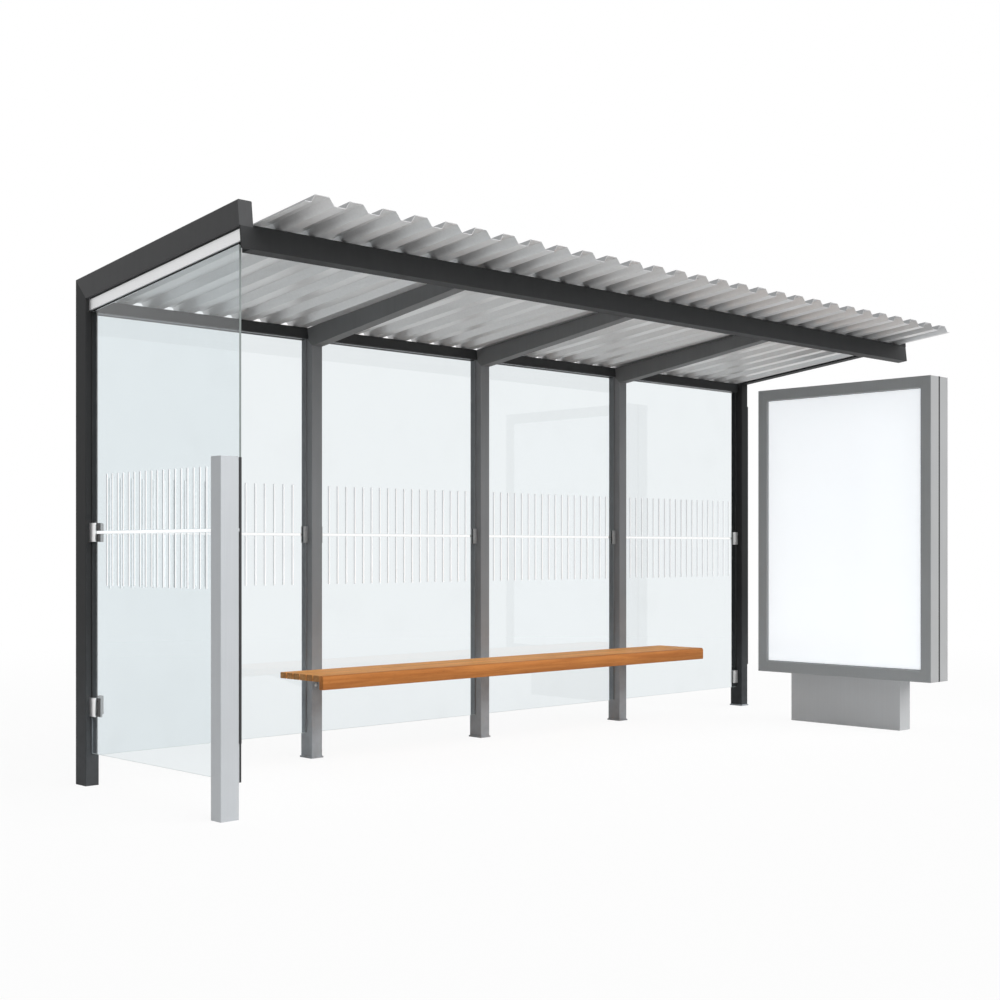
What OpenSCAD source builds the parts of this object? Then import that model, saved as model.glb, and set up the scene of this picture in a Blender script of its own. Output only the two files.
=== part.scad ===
// Bus shelter: a ribbed roof that falls to the back, on five posts, with a glazed back and left
// side, a slatted bench and a poster light case that stands at the right end.
// Millimetres, +X along the shelter to the right, +Y to the back, +Z up, ground at zero.

/* [Overall] */
// Pitch of the two end bays, from the left face of a post to that of the next
end_bay = 1345; // [1200:5:1500]
// Pitch of the two middle bays
mid_bay = 1265; // [1100:5:1400]
// Height of the roof seat above the ground, at the front of the posts
roof_h = 2350; // [2250:5:2450]
// Reach of the roof frame in front of the posts, along the slope
roof_reach = 1300; // [1200:5:1400]
// Fall of the roof towards the back, in degrees
roof_fall = 6.5; // [4:0.1:8]

/* [Posts] */
// Width of a post along the shelter
post_w = 70; // [60:1:90]
// Depth of a post from front to back
post_d = 100; // [80:1:120]
// Corner radius of the posts and beams
tube_r = 4; // [2:0.5:8]
// Thickness of a base plate
base_t = 8; // [5:1:15]
// Edge of a base plate beyond its post
base_edge = 6; // [3:1:15]

/* [Roof frame] */
// Depth of the front beam, and of the roof arms at their posts
beam_d = 105; // [85:1:130]
// Depth of a roof arm at the front beam
arm_tip_d = 70; // [50:1:85]
// Width of the front beam
front_beam_w = 67; // [55:1:90]
// Front wall that is left at the front beam's open left end
front_wall_t = 8; // [5:1:15]
// Set-back of the front beam's ends from the outer faces of the side beams
beam_end_reveal = 5; // [2:1:15]
// Depth of a rear beam
rear_beam_d = 60; // [45:1:80]
// Width of a rear beam
rear_beam_w = 60; // [40:1:70]
// Rise of a side beam above the roof seat
side_beam_rise = 102; // [70:1:120]
// Drop of a side beam below the roof seat
side_beam_drop = 10; // [5:1:40]

/* [Roof sheet] */
// Number of ribs across the roof
rib_count = 29; // [20:1:36]
// Height of a rib
rib_h = 35; // [25:1:50]
// Thickness of the sheet
sheet_t = 2; // [1:0.5:4]
// Overhang of the sheet in front of the front beam, along the slope
front_overhang = 362; // [250:1:450]
// Overhang of the sheet behind the posts, along the slope
rear_overhang = 12; // [5:1:80]
// Gap between the sheet and a side beam
sheet_gap = 3; // [1:0.5:10]

/* [Glass] */
// Thickness of every pane
glass_t = 10; // [8:1:12]
// Height of the rear panes above the ground
glass_lift = 138; // [80:1:200]
// Height of the side pane above the ground
side_glass_lift = 157; // [80:1:220]
// Gap between the edge of a pane and the post beside it
glass_edge_gap = 8; // [4:1:15]
// Gap between an upper pane and the lower one, at the middle clamps
pane_joint = 14; // [6:1:20]
// Middle of the side pane, from the outer face of the left post
side_glass_inset = 34; // [25:1:52]
// Width of the channel that holds the side pane's top
channel_w = 36; // [26:1:40]
// Depth of that channel
channel_d = 57; // [40:1:70]
// Depth of the glass in that channel
channel_bite = 30; // [15:1:32]

/* [Glass clamps] */
// Height of a clamp
clamp_h = 90; // [60:1:110]
// Depth of a clamp across the glass
clamp_d = 30; // [26:1:50]
// Length of a rear clamp on a middle post, out from the post
rear_clamp_l = 28; // [24:1:60]
// Length of a rear clamp on an end post, out from the post
end_clamp_l = 50; // [30:1:70]
// Length of a side clamp, out from its post
side_clamp_l = 52; // [40:1:80]
// Height of the middle clamps' centres
clamp_mid_z = 1218; // [1000:1:1400]
// Height of the low clamp's centre on the right post
rear_clamp_low_z = 212; // [200:1:400]
// Height of the low clamps' centres on the left post
side_clamp_low_z = 380; // [300:1:500]
// Clearance between a pane and the slot that holds it
glass_fit = 0.3; // [0.2:0.1:0.5]

/* [Corner post] */
// Width of the corner post along the shelter
corner_w = 91; // [70:1:110]
// Depth of the corner post
corner_d = 77; // [60:1:100]
// Height of the corner post
corner_h = 1524; // [1300:1:1700]
// Set-back of the corner post's front from the reach of the roof frame
corner_set_back = 51; // [45:1:150]
// Thickness of the bar that clamps the pane to the corner post
bar_t = 8; // [5:1:15]
// Width of that bar
bar_w = 60; // [40:1:70]
// Height of that bar's lower end
bar_low_z = 318; // [200:1:500]

/* [Bench] */
// Height of the seat
bench_h = 490; // [440:1:520]
// Gap between the seat and the posts
bench_back_gap = 70; // [20:1:90]
// Length of the seat beyond the outer bracket posts
bench_overhang = 260; // [150:1:350]
// Width of a seat slat
slat_w = 50; // [40:1:70]
// Thickness of a seat slat
slat_t = 32; // [25:1:45]
// Gap between two slats
slat_gap = 7; // [5:1:12]
// Edge radius of the boards
board_r = 4; // [2:0.5:6]
// Thickness of the front board
front_board_t = 28; // [20:1:40]
// Depth of the front board
front_board_d = 72; // [60:1:100]
// Width of a bench bracket
bracket_w = 50; // [40:1:66]
// Plate thickness of a bench bracket
bracket_t = 8; // [5:1:12]
// Height of a bracket's back plate
bracket_h = 85; // [70:1:140]
// Depth of a bracket's web at its front end
bracket_nose = 22; // [15:1:35]

/* [Poster case] */
// Thickness of the whole case
case_t = 199; // [160:1:240]
// Width of the case
case_w = 1286; // [1150:1:1400]
// Height of the case
case_h = 1891; // [1700:1:2000]
// Middle of the case, from the left face of the right post
case_inset = 426; // [300:1:600]
// Distance of the case from the front of the posts
case_gap = 528; // [400:1:700]
// Thickness of the core that shows as a groove between the doors
core_t = 17; // [10:1:30]
// Depth of that groove
groove_d = 12; // [6:1:20]
// Corner radius of the doors
door_r = 5; // [3:1:12]
// Width of a door's border round the poster
border_w = 71; // [60:1:110]
// Depth of the poster pane below the door's face
pane_recess = 9; // [5:1:15]
// Thickness of a poster pane
pane_t = 6; // [4:1:10]
// Height of the pedestal
pedestal_h = 317; // [200:1:400]
// Width of the pedestal
pedestal_w = 813; // [700:1:1000]
// Thickness of the pedestal
pedestal_t = 122; // [90:1:150]

/* [Hidden] */
// Round shapes
$fn = 48;
// Overrun of every cut
cut = 20;
// Largest reach of a cutting block
far = 2 * roof_h;

// Left faces of the posts, from left to right
post_x = [0, end_bay, end_bay + mid_bay, end_bay + 2 * mid_bay, 2 * end_bay + 2 * mid_bay];
last_post = len(post_x) - 1;
total_w = post_x[last_post] + post_w;

// Shares of one rib's pitch: flat trough, sloping web and flat crest
trough_share = 0.33;
web_share = 0.14;
sheet_x0 = post_w + sheet_gap;
sheet_w = total_w - 2 * sheet_x0;
rib_pitch = sheet_w / rib_count;
sheet_front = roof_reach + front_overhang;
sheet_back = post_d + rear_overhang;

// Glazing
lower_pane_top = clamp_mid_z - pane_joint / 2;
upper_pane_base = clamp_mid_z + pane_joint / 2;
side_glass_x = side_glass_inset - glass_t / 2;
corner_reach = roof_reach - corner_set_back;
side_pane_y = [-corner_reach, -glass_edge_gap];
channel_x = side_glass_inset - channel_w / 2;
slot_w = glass_t + 2 * glass_fit;
channel_slot_d = channel_bite + glass_fit;
corner_x = side_glass_x - corner_w;
bar_set_back = (corner_d - bar_w) / 2;

// Bench
slat_count = 6;
seat_under = bench_h - slat_t;
slat_pitch = slat_w + slat_gap;
bracket_reach = bench_back_gap + slat_count * slat_pitch;
bench_x0 = post_x[1] - bench_overhang;
bench_l = post_x[last_post - 1] + post_w + bench_overhang - bench_x0;

// Poster case
case_x = post_x[last_post] - case_inset;
case_y = -case_gap - case_w;
door_t = (case_t - core_t) / 2;
pocket_d = pane_recess + pane_t;

// The origin is the middle of the whole shelter's box, on the ground
left_x = min(0, corner_x);
right_x = total_w + base_edge;
sheet_front_y = -sheet_front * cos(roof_fall);
sheet_back_y = sheet_back * cos(roof_fall) + (rib_h + sheet_t) * sin(roof_fall);
front_y = min(case_y, sheet_front_y);
back_y = max(sheet_back_y, post_d + base_edge);
origin = [(left_x + right_x) / 2, (front_y + back_y) / 2, 0];

anthracite = "#43464a";
mid_grey = "#7b7e82";
silver = "#c9ccce";
galvanised = "#b4b7b9";
clear = "#dfeaee";
oiled_wood = "#c07d42";
steel = "#8d9194";
white = "#f6f8fa";

// Height of the plane that lies t above the roof seat, at a place y from front to back
function roof_z(y, t) = roof_h - y * tan(roof_fall) + t / cos(roof_fall);

// Moves everything from the left post's front corner to the origin of the part
module placed() {
    translate(-origin) children();
}

// The roof's own frame: y runs down the slope to the back, z stands square on the roof seat
module in_roof() {
    translate([0, 0, roof_h]) rotate([-roof_fall, 0, 0]) children();
}

// Rectangle with round corners, from the lower left corner
module round_rect(w, d, r) {
    translate([r, 0]) square([w - 2 * r, d]);
    translate([0, r]) square([w, d - 2 * r]);
    for (x = [r, w - r], y = [r, d - r]) translate([x, y]) circle(r);
}

// Upright tube on the ground
module upright_tube(w, d, h) {
    linear_extrude(h) round_rect(w, d, tube_r);
}

// Tube along y in the roof's frame, from y0 to y1, with its section from t0 to t1
module slope_tube(w, y0, y1, t0, t1) {
    translate([0, y1, t0]) rotate([90, 0, 0]) linear_extrude(y1 - y0) round_rect(w, t1 - t0, tube_r);
}

// Extrudes a profile of (y, z) points along x
module along_x(length) {
    rotate([90, 0, 90]) linear_extrude(length) children();
}

// Half space on the mitre of a post with a roof member whose section runs from t0 to t1:
// the plane passes through the inner corner at the post's front and the outer corner at its back
module mitre_side(t0, t1, above) {
    inner_z = roof_z(0, t0);
    outer_z = roof_z(post_d, t1);
    lean = atan2(outer_z - inner_z, post_d);
    translate([-cut, 0, inner_z]) rotate([lean, 0, 0])
        translate([0, -far / 2, above ? 0 : -far]) cube([post_w + 2 * cut, far, far]);
}

// Post whose top is mitred to the roof member that it carries
module mitred_post(i, t0, t1, foot) {
    translate([post_x[i], 0, 0]) difference() {
        translate([0, 0, foot]) upright_tube(post_w, post_d, roof_z(0, t1) - foot);
        mitre_side(t0, t1, true);
    }
}

// Roof member from the mitre on its post to y_front in front of the posts
module mitred_arm(i, t0, t1, y_front) {
    translate([post_x[i], 0, 0]) difference() {
        in_roof() slope_tube(post_w, -y_front, 2 * post_d, t0, t1);
        mitre_side(t0, t1, false);
    }
}

module end_post(i, foot) {
    color(anthracite) placed() mitred_post(i, -side_beam_drop, side_beam_rise, foot);
}

module middle_post(i) {
    color(mid_grey) placed() mitred_post(i, -beam_d, 0, base_t);
}

// The left post stands on the ground without a plate, the other posts on one plate each
module base_plates() {
    plate_w = post_w + 2 * base_edge;
    plate_d = post_d + 2 * base_edge;
    color(mid_grey) placed() for (i = [1:last_post])
        translate([post_x[i] - base_edge, -base_edge, 0]) linear_extrude(base_t)
            round_rect(plate_w, plate_d, base_edge);
}

module side_roof_beam(i) {
    color(anthracite) placed() mitred_arm(i, -side_beam_drop, side_beam_rise, roof_reach);
}

// Roof arm whose underside rises from the depth at its post to the depth at the front beam
module roof_arm(i) {
    arm_l = roof_reach - front_beam_w;
    taper_share = (beam_d - arm_tip_d) / arm_l;
    color(mid_grey) placed() difference() {
        mitred_arm(i, -beam_d, 0, arm_l);
        in_roof() translate([post_x[i] - cut, 0, -beam_d]) along_x(post_w + 2 * cut)
            polygon([[0, 0], [-arm_l - cut, (arm_l + cut) * taper_share],
                [-arm_l - cut, -cut], [0, -cut]]);
    }
}

// Beam across the front. The side beams lie in notches in its ends, and behind its front wall
// the left end is open, so that the side pane's channel runs up to that wall.
module front_beam() {
    beam_w = total_w - 2 * beam_end_reveal;
    open_w = channel_x + channel_w - beam_end_reveal;
    color(anthracite) placed() in_roof() translate([beam_end_reveal, -roof_reach, -beam_d]) difference() {
        along_x(beam_w) round_rect(front_beam_w, beam_d, tube_r);
        translate([-cut, front_wall_t, -cut]) cube([open_w + cut, front_beam_w, beam_d + 2 * cut]);
        for (x = [-cut, beam_w - post_w + beam_end_reveal])
            translate([x, -cut, beam_d - side_beam_drop])
                cube([post_w - beam_end_reveal + cut, front_beam_w + 2 * cut, beam_d]);
    }
}

// Beam along the back of one bay, between the posts and level with their backs, under the sheet
module rear_beam(i) {
    x0 = post_x[i - 1] + post_w;
    color(anthracite) placed() in_roof()
        translate([x0, post_d - rear_beam_w, -rear_beam_d])
            along_x(post_x[i] - x0) round_rect(rear_beam_w, rear_beam_d, tube_r);
}

// Underside of the sheet as (x, z) points over one rib, from the middle of a trough
function rib_points(k) = [
    for (p = [[trough_share / 2, 0], [trough_share / 2 + web_share, 1],
              [1 - trough_share / 2 - web_share, 1], [1 - trough_share / 2, 0]])
        [(k + p[0]) * rib_pitch, p[1] * rib_h]
];

// Trapezoidal sheet: the underside line, closed by the same line moved up by the thickness
module roof_sheet() {
    under = concat([[0, 0]], [for (k = [0:rib_count - 1]) each rib_points(k)], [[sheet_w, 0]]);
    count = len(under);
    upper = [for (k = [1:count]) under[count - k] + [0, sheet_t]];
    color(galvanised) placed() in_roof() translate([sheet_x0, sheet_back, 0]) rotate([90, 0, 0])
        linear_extrude(sheet_front + sheet_back) polygon(concat(under, upper));
}

// Pane at the left side, from the height base to the heights top[0] at its front and top[1] at its back
module side_pane(base, top) {
    y = side_pane_y;
    color(clear, 0.35) placed() translate([side_glass_x, 0, 0]) along_x(glass_t)
        polygon([[y[0], base], [y[1], base], [y[1], top[1]], [y[0], top[0]]]);
}

// Up into the channel under the side beam
module side_upper_glass() {
    top_t = -side_beam_drop - channel_d + channel_bite;
    side_pane(upper_pane_base, [for (y = side_pane_y) roof_z(y, top_t)]);
}

module side_lower_glass() {
    side_pane(side_glass_lift, [lower_pane_top, lower_pane_top]);
}

// Slotted channel under the left side beam, from the left post to the front beam's front wall
module side_glass_channel() {
    length = roof_reach - front_wall_t;
    color(silver) placed() difference() {
        in_roof() translate([channel_x, -length, -side_beam_drop - channel_d]) difference() {
            cube([channel_w, length + post_d, channel_d]);
            translate([(channel_w - slot_w) / 2, -cut, -cut])
                cube([slot_w, length + post_d + 2 * cut, channel_slot_d + cut]);
        }
        translate([-cut, 0, 0]) cube([post_w + channel_w + cut, far, far]);
    }
}

module corner_post() {
    color(silver) placed() translate([corner_x, -corner_reach, 0]) upright_tube(corner_w, corner_d, corner_h);
}

// Flat bar on the inner side of the side pane, against the corner post
module glazing_bar() {
    color(anthracite) placed() translate([side_glass_x + glass_t, -corner_reach + bar_set_back, bar_low_z])
        cube([bar_t, bar_w, corner_h - bar_low_z]);
}

// Pane at the back of one bay, between two heights
module rear_pane(i, base, top) {
    x0 = post_x[i - 1] + post_w + glass_edge_gap;
    color(clear, 0.35) placed() translate([x0, (post_d - glass_t) / 2, base])
        cube([post_x[i] - glass_edge_gap - x0, glass_t, top - base]);
}

// Up to the rear beam's underside
module rear_upper_glass(i) {
    pane_back = (post_d + glass_t) / 2;
    rear_pane(i, upper_pane_base, roof_z(pane_back, -rear_beam_d) - glass_fit);
}

module rear_lower_glass(i) {
    rear_pane(i, glass_lift, lower_pane_top);
}

// Clamp of length l along +x from the face of its post, slotted for a pane in the plane y = 0
module glass_clamp(l) {
    slot_x = glass_edge_gap - glass_fit;
    translate([0, 0, -clamp_h / 2]) difference() {
        translate([0, -clamp_d / 2, 0]) cube([l, clamp_d, clamp_h]);
        translate([slot_x, -slot_w / 2, -cut]) cube([l, slot_w, clamp_h + 2 * cut]);
    }
}

// Middle clamps at the panes' joint on both sides of every post, and low ones on the end posts
module rear_glass_clamps() {
    color(silver) placed() for (i = [0:last_post]) {
        at_end = i == 0 || i == last_post;
        l = at_end ? end_clamp_l : rear_clamp_l;
        low_z = i == 0 ? side_clamp_low_z : rear_clamp_low_z;
        for (z = at_end ? [clamp_mid_z, low_z] : [clamp_mid_z]) {
            if (i < last_post) translate([post_x[i] + post_w, post_d / 2, z]) glass_clamp(l);
            if (i > 0) translate([post_x[i], post_d / 2, z]) mirror([1, 0, 0]) glass_clamp(l);
        }
    }
}

module side_glass_clamps() {
    color(silver) placed() for (z = [clamp_mid_z, side_clamp_low_z])
        translate([side_glass_inset, 0, z]) rotate([0, 0, -90]) glass_clamp(side_clamp_l);
}

// Board along the bench: w deep, t thick, with its top at the seat's height
module bench_board(y0, w, t) {
    translate([bench_x0, y0, bench_h - t]) along_x(bench_l) round_rect(w, t, board_r);
}

// Slats are counted from the back
module seat_slat(i) {
    color(oiled_wood) placed() bench_board(-bench_back_gap - i * slat_pitch + slat_gap, slat_w, slat_t);
}

module bench_front_board() {
    color(oiled_wood) placed() bench_board(-bracket_reach - front_board_t, front_board_t, front_board_d);
}

// Back plate on the post, tapered web and top plate under the slats
module bench_bracket() {
    web = [[0, -bracket_h], [0, 0], [-bracket_reach, 0], [-bracket_reach, -bracket_nose]];
    translate([-bracket_t / 2, 0, 0]) along_x(bracket_t) polygon(web);
    translate([-bracket_w / 2, -bracket_reach, -bracket_t]) cube([bracket_w, bracket_reach, bracket_t]);
    translate([-bracket_w / 2, -bracket_t, -bracket_h]) cube([bracket_w, bracket_t, bracket_h]);
}

module bench_brackets() {
    color(steel) placed() for (i = [1:last_post - 1])
        translate([post_x[i] + post_w / 2, 0, seat_under]) bench_bracket();
}

// Slab of the case between two planes of x, inset from the case's outline
module case_slab(x0, t, inset, r) {
    translate([x0, case_y + inset, pedestal_h + inset]) along_x(t)
        round_rect(case_w - 2 * inset, case_h - 2 * inset, r);
}

module case_core() {
    color(anthracite) placed() case_slab(case_x - core_t / 2, core_t, groove_d, door_r);
}

// Door on the left side of the case, with a pocket for the poster pane in its face
module left_door_form() {
    face_x = case_x - case_t / 2;
    difference() {
        case_slab(face_x, door_t, 0, door_r);
        case_slab(face_x - cut, cut + pocket_d, border_w, door_r);
    }
}

module left_pane_form() {
    case_slab(case_x - case_t / 2 + pane_recess, pane_t, border_w, door_r);
}

// Copies to the right side of the case
module case_mirrored() {
    translate([2 * case_x, 0, 0]) mirror([1, 0, 0]) children();
}

module case_left_door() {
    color(silver) placed() left_door_form();
}

module case_right_door() {
    color(silver) placed() case_mirrored() left_door_form();
}

module left_poster_pane() {
    color(white) placed() left_pane_form();
}

module right_poster_pane() {
    color(white) placed() case_mirrored() left_pane_form();
}

module case_pedestal() {
    color(silver) placed() translate([case_x - pedestal_t / 2, case_y + (case_w - pedestal_w) / 2, 0])
        upright_tube(pedestal_t, pedestal_w, pedestal_h);
}

end_post(0, 0);  // left_rear_post
end_post(last_post, base_t);  // right_rear_post
middle_post(1);  // middle_post_1
middle_post(2);  // middle_post_2
middle_post(3);  // middle_post_3
base_plates();
side_roof_beam(0);  // left_roof_beam
side_roof_beam(last_post);  // right_roof_beam
roof_arm(1);  // roof_arm_1
roof_arm(2);  // roof_arm_2
roof_arm(3);  // roof_arm_3
front_beam();
rear_beam(1);  // rear_beam_1
rear_beam(2);  // rear_beam_2
rear_beam(3);  // rear_beam_3
rear_beam(4);  // rear_beam_4
roof_sheet();
side_upper_glass();
side_lower_glass();
side_glass_channel();
corner_post();
glazing_bar();
rear_upper_glass(1);  // rear_upper_glass_1
rear_upper_glass(2);  // rear_upper_glass_2
rear_upper_glass(3);  // rear_upper_glass_3
rear_upper_glass(4);  // rear_upper_glass_4
rear_lower_glass(1);  // rear_lower_glass_1
rear_lower_glass(2);  // rear_lower_glass_2
rear_lower_glass(3);  // rear_lower_glass_3
rear_lower_glass(4);  // rear_lower_glass_4
rear_glass_clamps();
side_glass_clamps();
seat_slat(1);  // seat_slat_1
seat_slat(2);  // seat_slat_2
seat_slat(3);  // seat_slat_3
seat_slat(4);  // seat_slat_4
seat_slat(5);  // seat_slat_5
seat_slat(6);  // seat_slat_6
bench_front_board();
bench_brackets();
case_core();
case_left_door();
case_right_door();
left_poster_pane();
right_poster_pane();
case_pedestal();
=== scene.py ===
"""Looks of the bus shelter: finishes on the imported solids, small fittings, prints on the glass and a plain studio."""

import math

import bmesh
import bpy
import numpy as np
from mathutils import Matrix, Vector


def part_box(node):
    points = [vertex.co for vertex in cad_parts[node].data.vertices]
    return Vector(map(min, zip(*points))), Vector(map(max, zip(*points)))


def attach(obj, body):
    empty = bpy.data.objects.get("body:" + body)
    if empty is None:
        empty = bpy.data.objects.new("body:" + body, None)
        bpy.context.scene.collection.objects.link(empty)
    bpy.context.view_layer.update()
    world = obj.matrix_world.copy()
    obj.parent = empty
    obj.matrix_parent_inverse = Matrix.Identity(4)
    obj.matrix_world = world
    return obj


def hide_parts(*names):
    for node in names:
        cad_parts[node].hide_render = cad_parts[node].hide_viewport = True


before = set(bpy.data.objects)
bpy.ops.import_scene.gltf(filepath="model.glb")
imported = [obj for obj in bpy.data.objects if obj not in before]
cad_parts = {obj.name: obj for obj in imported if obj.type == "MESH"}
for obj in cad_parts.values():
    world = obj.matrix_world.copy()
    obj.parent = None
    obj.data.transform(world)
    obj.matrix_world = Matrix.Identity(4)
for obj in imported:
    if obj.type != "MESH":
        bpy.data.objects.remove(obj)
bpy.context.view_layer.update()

bl_info = {
    "name": "Bus Shelter Looks",
    "version": (1, 0, 0),
    "blender": (4, 5, 0),
    "location": "3D View > Sidebar > Shelter",
    "description": "Finishes, fittings and studio for the packed bus shelter",
    "category": "Object",
}

BODY = "root"
MM = 0.001
QUARTER = math.pi / 2

# The roof's own frame, as in the part's source
ROOF_FALL = math.radians(6.5)
ROOF_SEAT = 2.350
ROOF_REACH = 1.300
SHEET_FRONT = 1.662
SHEET_BACK = 0.112
SHEET_T = 0.002
RIB_COUNT = 29
RIB_H = 0.035
TROUGH_SHARE = 0.33
WEB_SHARE = 0.14
LAP_RIBS = range(5, RIB_COUNT - 1, 6)
SIDE_BEAM_DROP = 0.010
CHANNEL_D = 0.057

ROOF_ARMS = ("roof_arm_1", "roof_arm_2", "roof_arm_3")
REAR_BEAMS = ("rear_beam_1", "rear_beam_2", "rear_beam_3", "rear_beam_4")
MIDDLE_POSTS = ("middle_post_1", "middle_post_2", "middle_post_3")
POSTS = ("left_rear_post",) + MIDDLE_POSTS + ("right_rear_post",)
BAYS = (1, 2, 3, 4)
SLATS = ("seat_slat_1", "seat_slat_2", "seat_slat_3", "seat_slat_4", "seat_slat_5", "seat_slat_6")


# Parts: points as an array of rows (x, y, z), and faces as a list of index lists

def ring_faces(rings, count, closed=False):
    """Quads between following rings of count points each, closed round the ring and, if asked, from the last ring
    to the first."""
    start = np.arange(rings if closed else rings - 1)[:, None]
    here = np.arange(count)[None, :]
    after = (here + 1) % count
    low = start * count
    high = (start + 1) % rings * count
    quads = np.stack([low + here, low + after, high + after, high + here], axis=-1)
    return quads.reshape(-1, 4).tolist()


def loft(sections):
    """Solid through an array of equal closed sections, with a flat cap on the first and the last."""
    rings, count, _ = sections.shape
    last = (rings - 1) * count
    caps = [list(range(count)), list(range(last, last + count))]
    return sections.reshape(-1, 3), ring_faces(rings, count) + caps


def hoop(sections):
    """Closed ring through an array of equal closed sections, from the last back to the first."""
    rings, count, _ = sections.shape
    return sections.reshape(-1, 3), ring_faces(rings, count, closed=True)


def round_outline(width, depth, radius, steps):
    """Rectangle with round corners, of one radius or of four: each corner's centre plus its radius times (cos, sin)
    over its quarter turn."""
    turn = np.linspace(0, QUARTER, steps + 1)
    angle = (turn[None, :] + QUARTER * np.arange(4)[:, None]).ravel()
    sign = np.repeat([[1, 1], [-1, 1], [-1, -1], [1, -1]], steps + 1, axis=0)
    radius = np.repeat(np.broadcast_to(radius, 4), steps + 1)[:, None]
    centre = sign * (np.array([width, depth]) / 2 - radius)
    return centre + radius * np.stack([np.cos(angle), np.sin(angle)], axis=-1)


def eased_bar(length, width, depth, edge, end, steps=3):
    """Bar along x with round long edges and eased ends: as x moves in by end * (1 - cos a), the outline shrinks by
    end * (1 - sin a)."""
    turn = np.linspace(0, QUARTER, steps + 1)
    inset = end * (1 - np.sin(turn))
    x = end * (1 - np.cos(turn)) - length / 2
    inset = np.concatenate([inset, inset[::-1]])
    x = np.concatenate([x, -x[::-1]])
    edge = np.array(edge)
    radii = [np.maximum(edge - i, edge / 5) for i in inset]
    outlines = np.array([
        round_outline(width - 2 * i, depth - 2 * i, radius, steps) for i, radius in zip(inset, radii)])
    across = np.broadcast_to(x[:, None, None], outlines.shape[:2] + (1,))
    return loft(np.concatenate([across, outlines], axis=-1))


def turned(profile, count):
    """Solid of revolution: each profile row (radius, height) becomes a ring of count points round z."""
    radius, height = np.array(profile, float).T
    angle = 2 * math.pi * np.arange(count) / count
    rings = [np.outer(radius, np.cos(angle)), np.outer(radius, np.sin(angle)), np.outer(height, np.ones(count))]
    return loft(np.stack(rings, axis=-1))


def moved(part, place=(0, 0, 0), axes=((1, 0, 0), (0, 1, 0), (0, 0, 1))):
    """The part with its x, y and z turned to the three axes, and then carried to a place."""
    points, faces = part
    return points @ np.array(axes, float) + np.array(place, float), faces


def joined(parts):
    """Several parts as one: the points follow each other and the faces count on."""
    start = np.cumsum([0] + [len(points) for points, _ in parts])
    faces = [[first + i for i in face] for first, (_, more) in zip(start.tolist(), parts) for face in more]
    return np.concatenate([points for points, _ in parts]), faces


def repeated(part, places):
    """The same part at every place."""
    return joined([moved(part, place) for place in places])


def block(low, high, edge=0.2 * MM):
    """Block between two corners with eased edges."""
    low, high = np.array(low, float), np.array(high, float)
    size = high - low
    return moved(eased_bar(size[0], size[1], size[2], edge, edge, steps=2), (low + high) / 2)


def add_piece(name, part, finish, stands_for=(), smooth=40.0):
    """Makes a mesh of a part, with its faces pointing outwards, and lets it ride on the shelter's one body."""
    points, faces = part
    mesh = bpy.data.meshes.new(name)
    mesh.from_pydata(points.tolist(), [], faces)
    work = bmesh.new()
    work.from_mesh(mesh)
    bmesh.ops.recalc_face_normals(work, faces=work.faces)
    work.to_mesh(mesh)
    work.free()
    mesh.polygons.foreach_set("use_smooth", np.ones(len(mesh.polygons), dtype=bool))
    mesh.set_sharp_from_angle(angle=math.radians(smooth))
    mesh.materials.append(finish)
    piece = bpy.data.objects.new(name, mesh)
    bpy.context.scene.collection.objects.link(piece)
    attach(piece, BODY)
    if stands_for:
        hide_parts(*stands_for)
    return piece


def dress(nodes, finish):
    """Gives CAD nodes a finish in their own material slots."""
    for name in nodes:
        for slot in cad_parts[name].material_slots:
            slot.material = finish


def span(node):
    """Lowest and highest corner of a CAD node, as arrays."""
    low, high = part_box(node)
    return np.array(low), np.array(high)


def roof_points(x, along, above):
    """Rows of points in the roof's frame: along runs down the slope to the back from the posts' front, above stands
    square on the seat."""
    front = span("middle_post_1")[0][1]
    x, along, above = np.broadcast_arrays(x, along, above)
    y = front + along * math.cos(ROOF_FALL) + above * math.sin(ROOF_FALL)
    z = ROOF_SEAT - along * math.sin(ROOF_FALL) + above * math.cos(ROOF_FALL)
    return np.stack([x, y, z], axis=-1)


ROOF_AXES = (
    (1, 0, 0),
    (0, math.cos(ROOF_FALL), -math.sin(ROOF_FALL)),
    (0, math.sin(ROOF_FALL), math.cos(ROOF_FALL)),
)


# Finishes

class Tone:
    """One value over a surface: wraps a socket, and arithmetic on it adds Math nodes."""

    def __init__(self, nodes, socket):
        self.nodes = nodes
        self.socket = socket

    def math(self, operation, first, second):
        return self.nodes.add("Math", {"operation": operation}, {0: first, 1: second})

    def __add__(self, other):
        return self.math("ADD", self, other)

    def __radd__(self, other):
        return self.math("ADD", other, self)

    def __sub__(self, other):
        return self.math("SUBTRACT", self, other)

    def __rsub__(self, other):
        return self.math("SUBTRACT", other, self)

    def __mul__(self, other):
        return self.math("MULTIPLY", self, other)

    def __rmul__(self, other):
        return self.math("MULTIPLY", other, self)

    def __truediv__(self, other):
        return self.math("DIVIDE", self, other)

    def __abs__(self):
        return self.math("ABSOLUTE", self, 0.0)

    def most(self, other):
        return self.math("MAXIMUM", self, other)


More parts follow.
